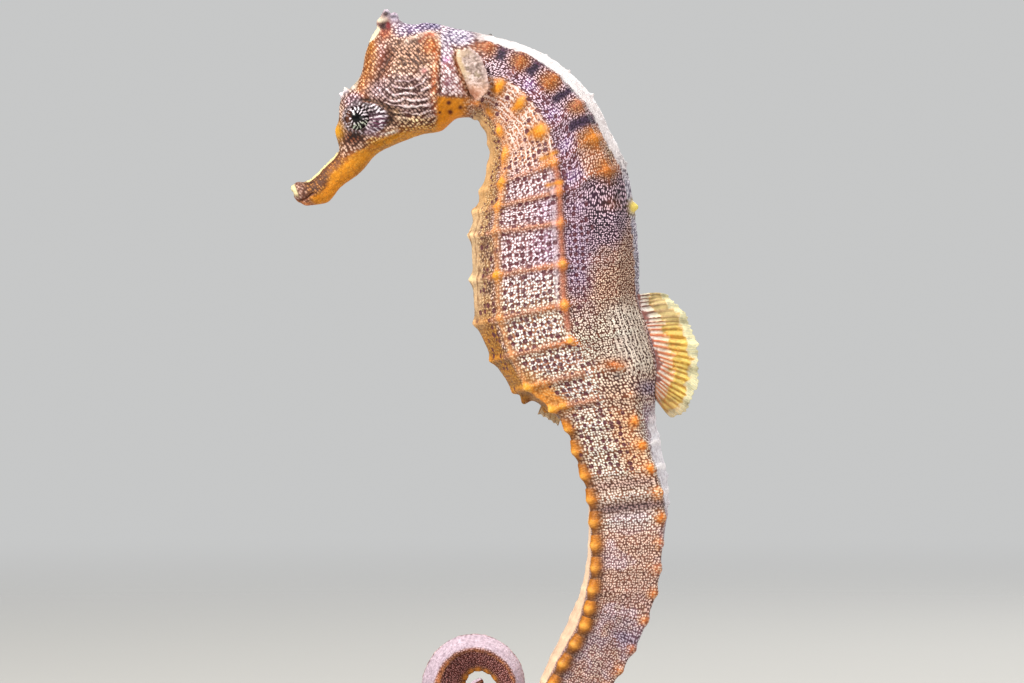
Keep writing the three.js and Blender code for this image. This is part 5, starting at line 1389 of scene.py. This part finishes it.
# anal fin
nu, nv = 60, 16
u = np.linspace(0, 1, nu + 1)[:, None] * np.ones((1, nv))
vv = np.linspace(0, 1, nv)[None] * np.ones((nu + 1, 1))
c_, b_, l_, d_, w_ = frame_at((10.8 + 0.75 * u).ravel())
base = (c_ + b_ * (d_ * 0.96)[:, None]).reshape(u.shape + (3,))
ln = (1.75 - 0.5 * u) * (1 - 0.12 * np.abs(np.sin(np.pi * u * 4)))
mid = base + np.stack([-0.35 * ln * vv, 0.10 * np.sin(u * 9) * vv, -0.95 * ln * vv], -1)
ray_c = np.cos(2 * np.pi * u * 4)
tint = np.ones(u.shape + (3,)) * C(224, 196, 150)
tint = over(tint, sstep(ray_c, 0.2, 0.9) * 0.6, C(190, 140, 84))
fin = fin_piece("anal_fin_rays", mid, surf_normals(mid), 0.09 + 0.06 * sstep(ray_c, 0, 1) + 0.15 * (1 - sstep(vv, 0, .3)),
                tint, 1 - 0.3 * sstep(vv, 0.4, 1))
fin.data.materials.append(fin_mat)
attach(fin, "root"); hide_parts("anal_fin")


# --------------------------------------------------------------------- stand
def lathe(name, profile, seg, at=(0, 0)):
    pr = np.array(profile, float)
    a = np.arange(seg) * 2 * np.pi / seg
    pts = np.stack([at[0] + pr[:, :1] * np.cos(a), at[1] + pr[:, :1] * np.sin(a), pr[:, 1:] * np.ones((1, seg))], -1)
    v, qd, tr_ = grid_mesh(name, pts, True, (at[0], at[1], pr[0, 1]), (at[0], at[1], pr[-1, 1]))
    vol = np.einsum("ij,ij->i", v[qd[:, 0]], np.cross(v[qd[:, 1]], v[qd[:, 2]])).sum()
    ob, _ = fill_mesh(name, v, qd, tr_, flip=vol < 0)
    return ob


def stand_material(name, color, metallic, rough, kind):
    m, nt, bsdf = new_material(name)
    k = Nodes(nt)
    obj = k.objcoord()
    if kind == "paint":
        fine = k.noise(obj, 1400.0, 3.0, 0.6)
        broad = k.noise(obj, 45.0, 3.0, 0.5)
        k.link(k.mix(k.ramp(broad, 0.3, 0.7), tuple(np.array(color) * 0.9), tuple(np.array(color) * 1.35)), bsdf.inputs["Base Color"])
        k.link(k.ramp(k.math("MULTIPLY_ADD", broad, 0.6, k.math("MULTIPLY", fine, 0.4)), 0.3, 0.7, rough - 0.07, rough + 0.08), bsdf.inputs["Roughness"])
        k.link(k.bump(fine, 0.00004, 0.35), bsdf.inputs["Normal"])
    else:
        mp = nt.nodes.new("ShaderNodeMapping")
        k.link(obj, mp.inputs[0])
        mp.inputs["Scale"].default_value = (1, 1, 60)
        fine = k.noise(mp.outputs[0], 220.0, 4.0, 0.65)
        k.link(k.mix(k.ramp(fine, 0.3, 0.7), tuple(np.array(color) * 0.86), tuple(np.array(color) * 1.06)), bsdf.inputs["Base Color"])
        k.link(k.ramp(fine, 0.3, 0.7, rough - 0.07, rough + 0.09), bsdf.inputs["Roughness"])
        k.link(k.bump(fine, 0.00002, 0.3), bsdf.inputs["Normal"])
    bsdf.inputs["Metallic"].default_value = metallic
    return m


BR, BH = 40.0, 8.0
edge = [(BR - 1.1 + 1.1 * math.sin(t), BH - 1.1 + 1.1 * math.cos(t)) for t in np.linspace(math.pi / 2, 0, 9)]
foot = [(BR - 0.5 + 0.5 * math.sin(t), 0.5 - 0.5 * math.cos(t)) for t in np.linspace(0, math.pi / 2, 5)]
prof = [(6, 0), (20, 0), (BR - 2, 0)] + foot + [(BR, 3), (BR, 5)] + edge + [(BR - 2.2, BH), (BR - 2.9, BH), (BR - 3.2, BH - 0.18),
        (BR - 3.6, BH - 0.18), (BR - 3.9, BH), (30, BH), (18, BH), (6, BH)]
base_ob = lathe("stand_base_turned", prof, 200)
base_ob.data.materials.append(stand_material("satin_black_paint", C(34, 34, 38), 0.0, 0.42, "paint"))
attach(base_ob, "root"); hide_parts("stand_base")
steel = stand_material("brushed_rod", C(196, 198, 202), 1.0, 0.30, "steel")
for which, x, y in (("front", -7.6, -1.2), ("back", 3.6, -0.4)):
    lo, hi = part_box(f"stand_rod_{which}")
    top = hi[2] / MM
    pr = [(0.4, 8.0), (2.6, 8.0), (2.6, 9.2), (2.45, 9.5), (2.1, 9.7), (1.62, 9.8), (1.5, 10.0), (1.5, 14.0), (1.5, top - 1.2),
          (1.5, top - 0.5), (1.42, top - 0.2), (1.2, top), (0.4, top)]
    rod = lathe(f"stand_rod_{which}_turned", pr, 72, (x, y))
    rod.data.materials.append(steel)
    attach(rod, "root"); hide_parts(f"stand_rod_{which}")


# ------------------------------------------------------------ floor and world
FLOOR_R = 2.5
fa = np.arange(96) * 2 * np.pi / 96
fr_ = np.array([0.05, 0.15, 0.3, 0.6, 1.2, FLOOR_R]) * 1000
pts = np.stack([fr_[:, None] * np.cos(fa), fr_[:, None] * np.sin(fa), np.zeros((len(fr_), 96)) - 0.01], -1)
fv, fq, ft = grid_mesh("floor", pts, True, (0, 0, -0.01), None)
floor, _ = fill_mesh("floor", fv, fq, ft)
m, nt, bsdf = new_material("pale_floor")
k = Nodes(nt)
obj = k.objcoord()
ln_ = nt.nodes.new("ShaderNodeVectorMath"); ln_.operation = "LENGTH"
k.link(obj, ln_.inputs[0])
bsdf.inputs["Base Color"].default_value = (0.50, 0.50, 0.49, 1)
bsdf.inputs["Roughness"].default_value = 0.85
bsdf.inputs["Specular IOR Level"].default_value = 0.1
k.link(k.ramp(ln_.outputs["Value"], 0.25, 1.3, 1.0, 0.0), bsdf.inputs["Alpha"])
floor.data.materials.append(m)

world = bpy.data.worlds.new("world")
scene.world = world
world.use_nodes = True
wn = world.node_tree
wn.nodes.clear()
out = wn.nodes.new("ShaderNodeOutputWorld")
bg_seen, bg_lit = wn.nodes.new("ShaderNodeBackground"), wn.nodes.new("ShaderNodeBackground")
bg_seen.inputs[0].default_value = (0.57, 0.575, 0.575, 1)
bg_seen.inputs[1].default_value = 1.0
bg_lit.inputs[0].default_value = (1.0, 0.97, 0.92, 1)
bg_lit.inputs[1].default_value = 0.36
lp = wn.nodes.new("ShaderNodeLightPath")
mx = wn.nodes.new("ShaderNodeMixShader")
wn.links.new(lp.outputs["Is Camera Ray"], mx.inputs[0])
wn.links.new(bg_lit.outputs[0], mx.inputs[1])
wn.links.new(bg_seen.outputs[0], mx.inputs[2])
wn.links.new(mx.outputs[0], out.inputs[0])
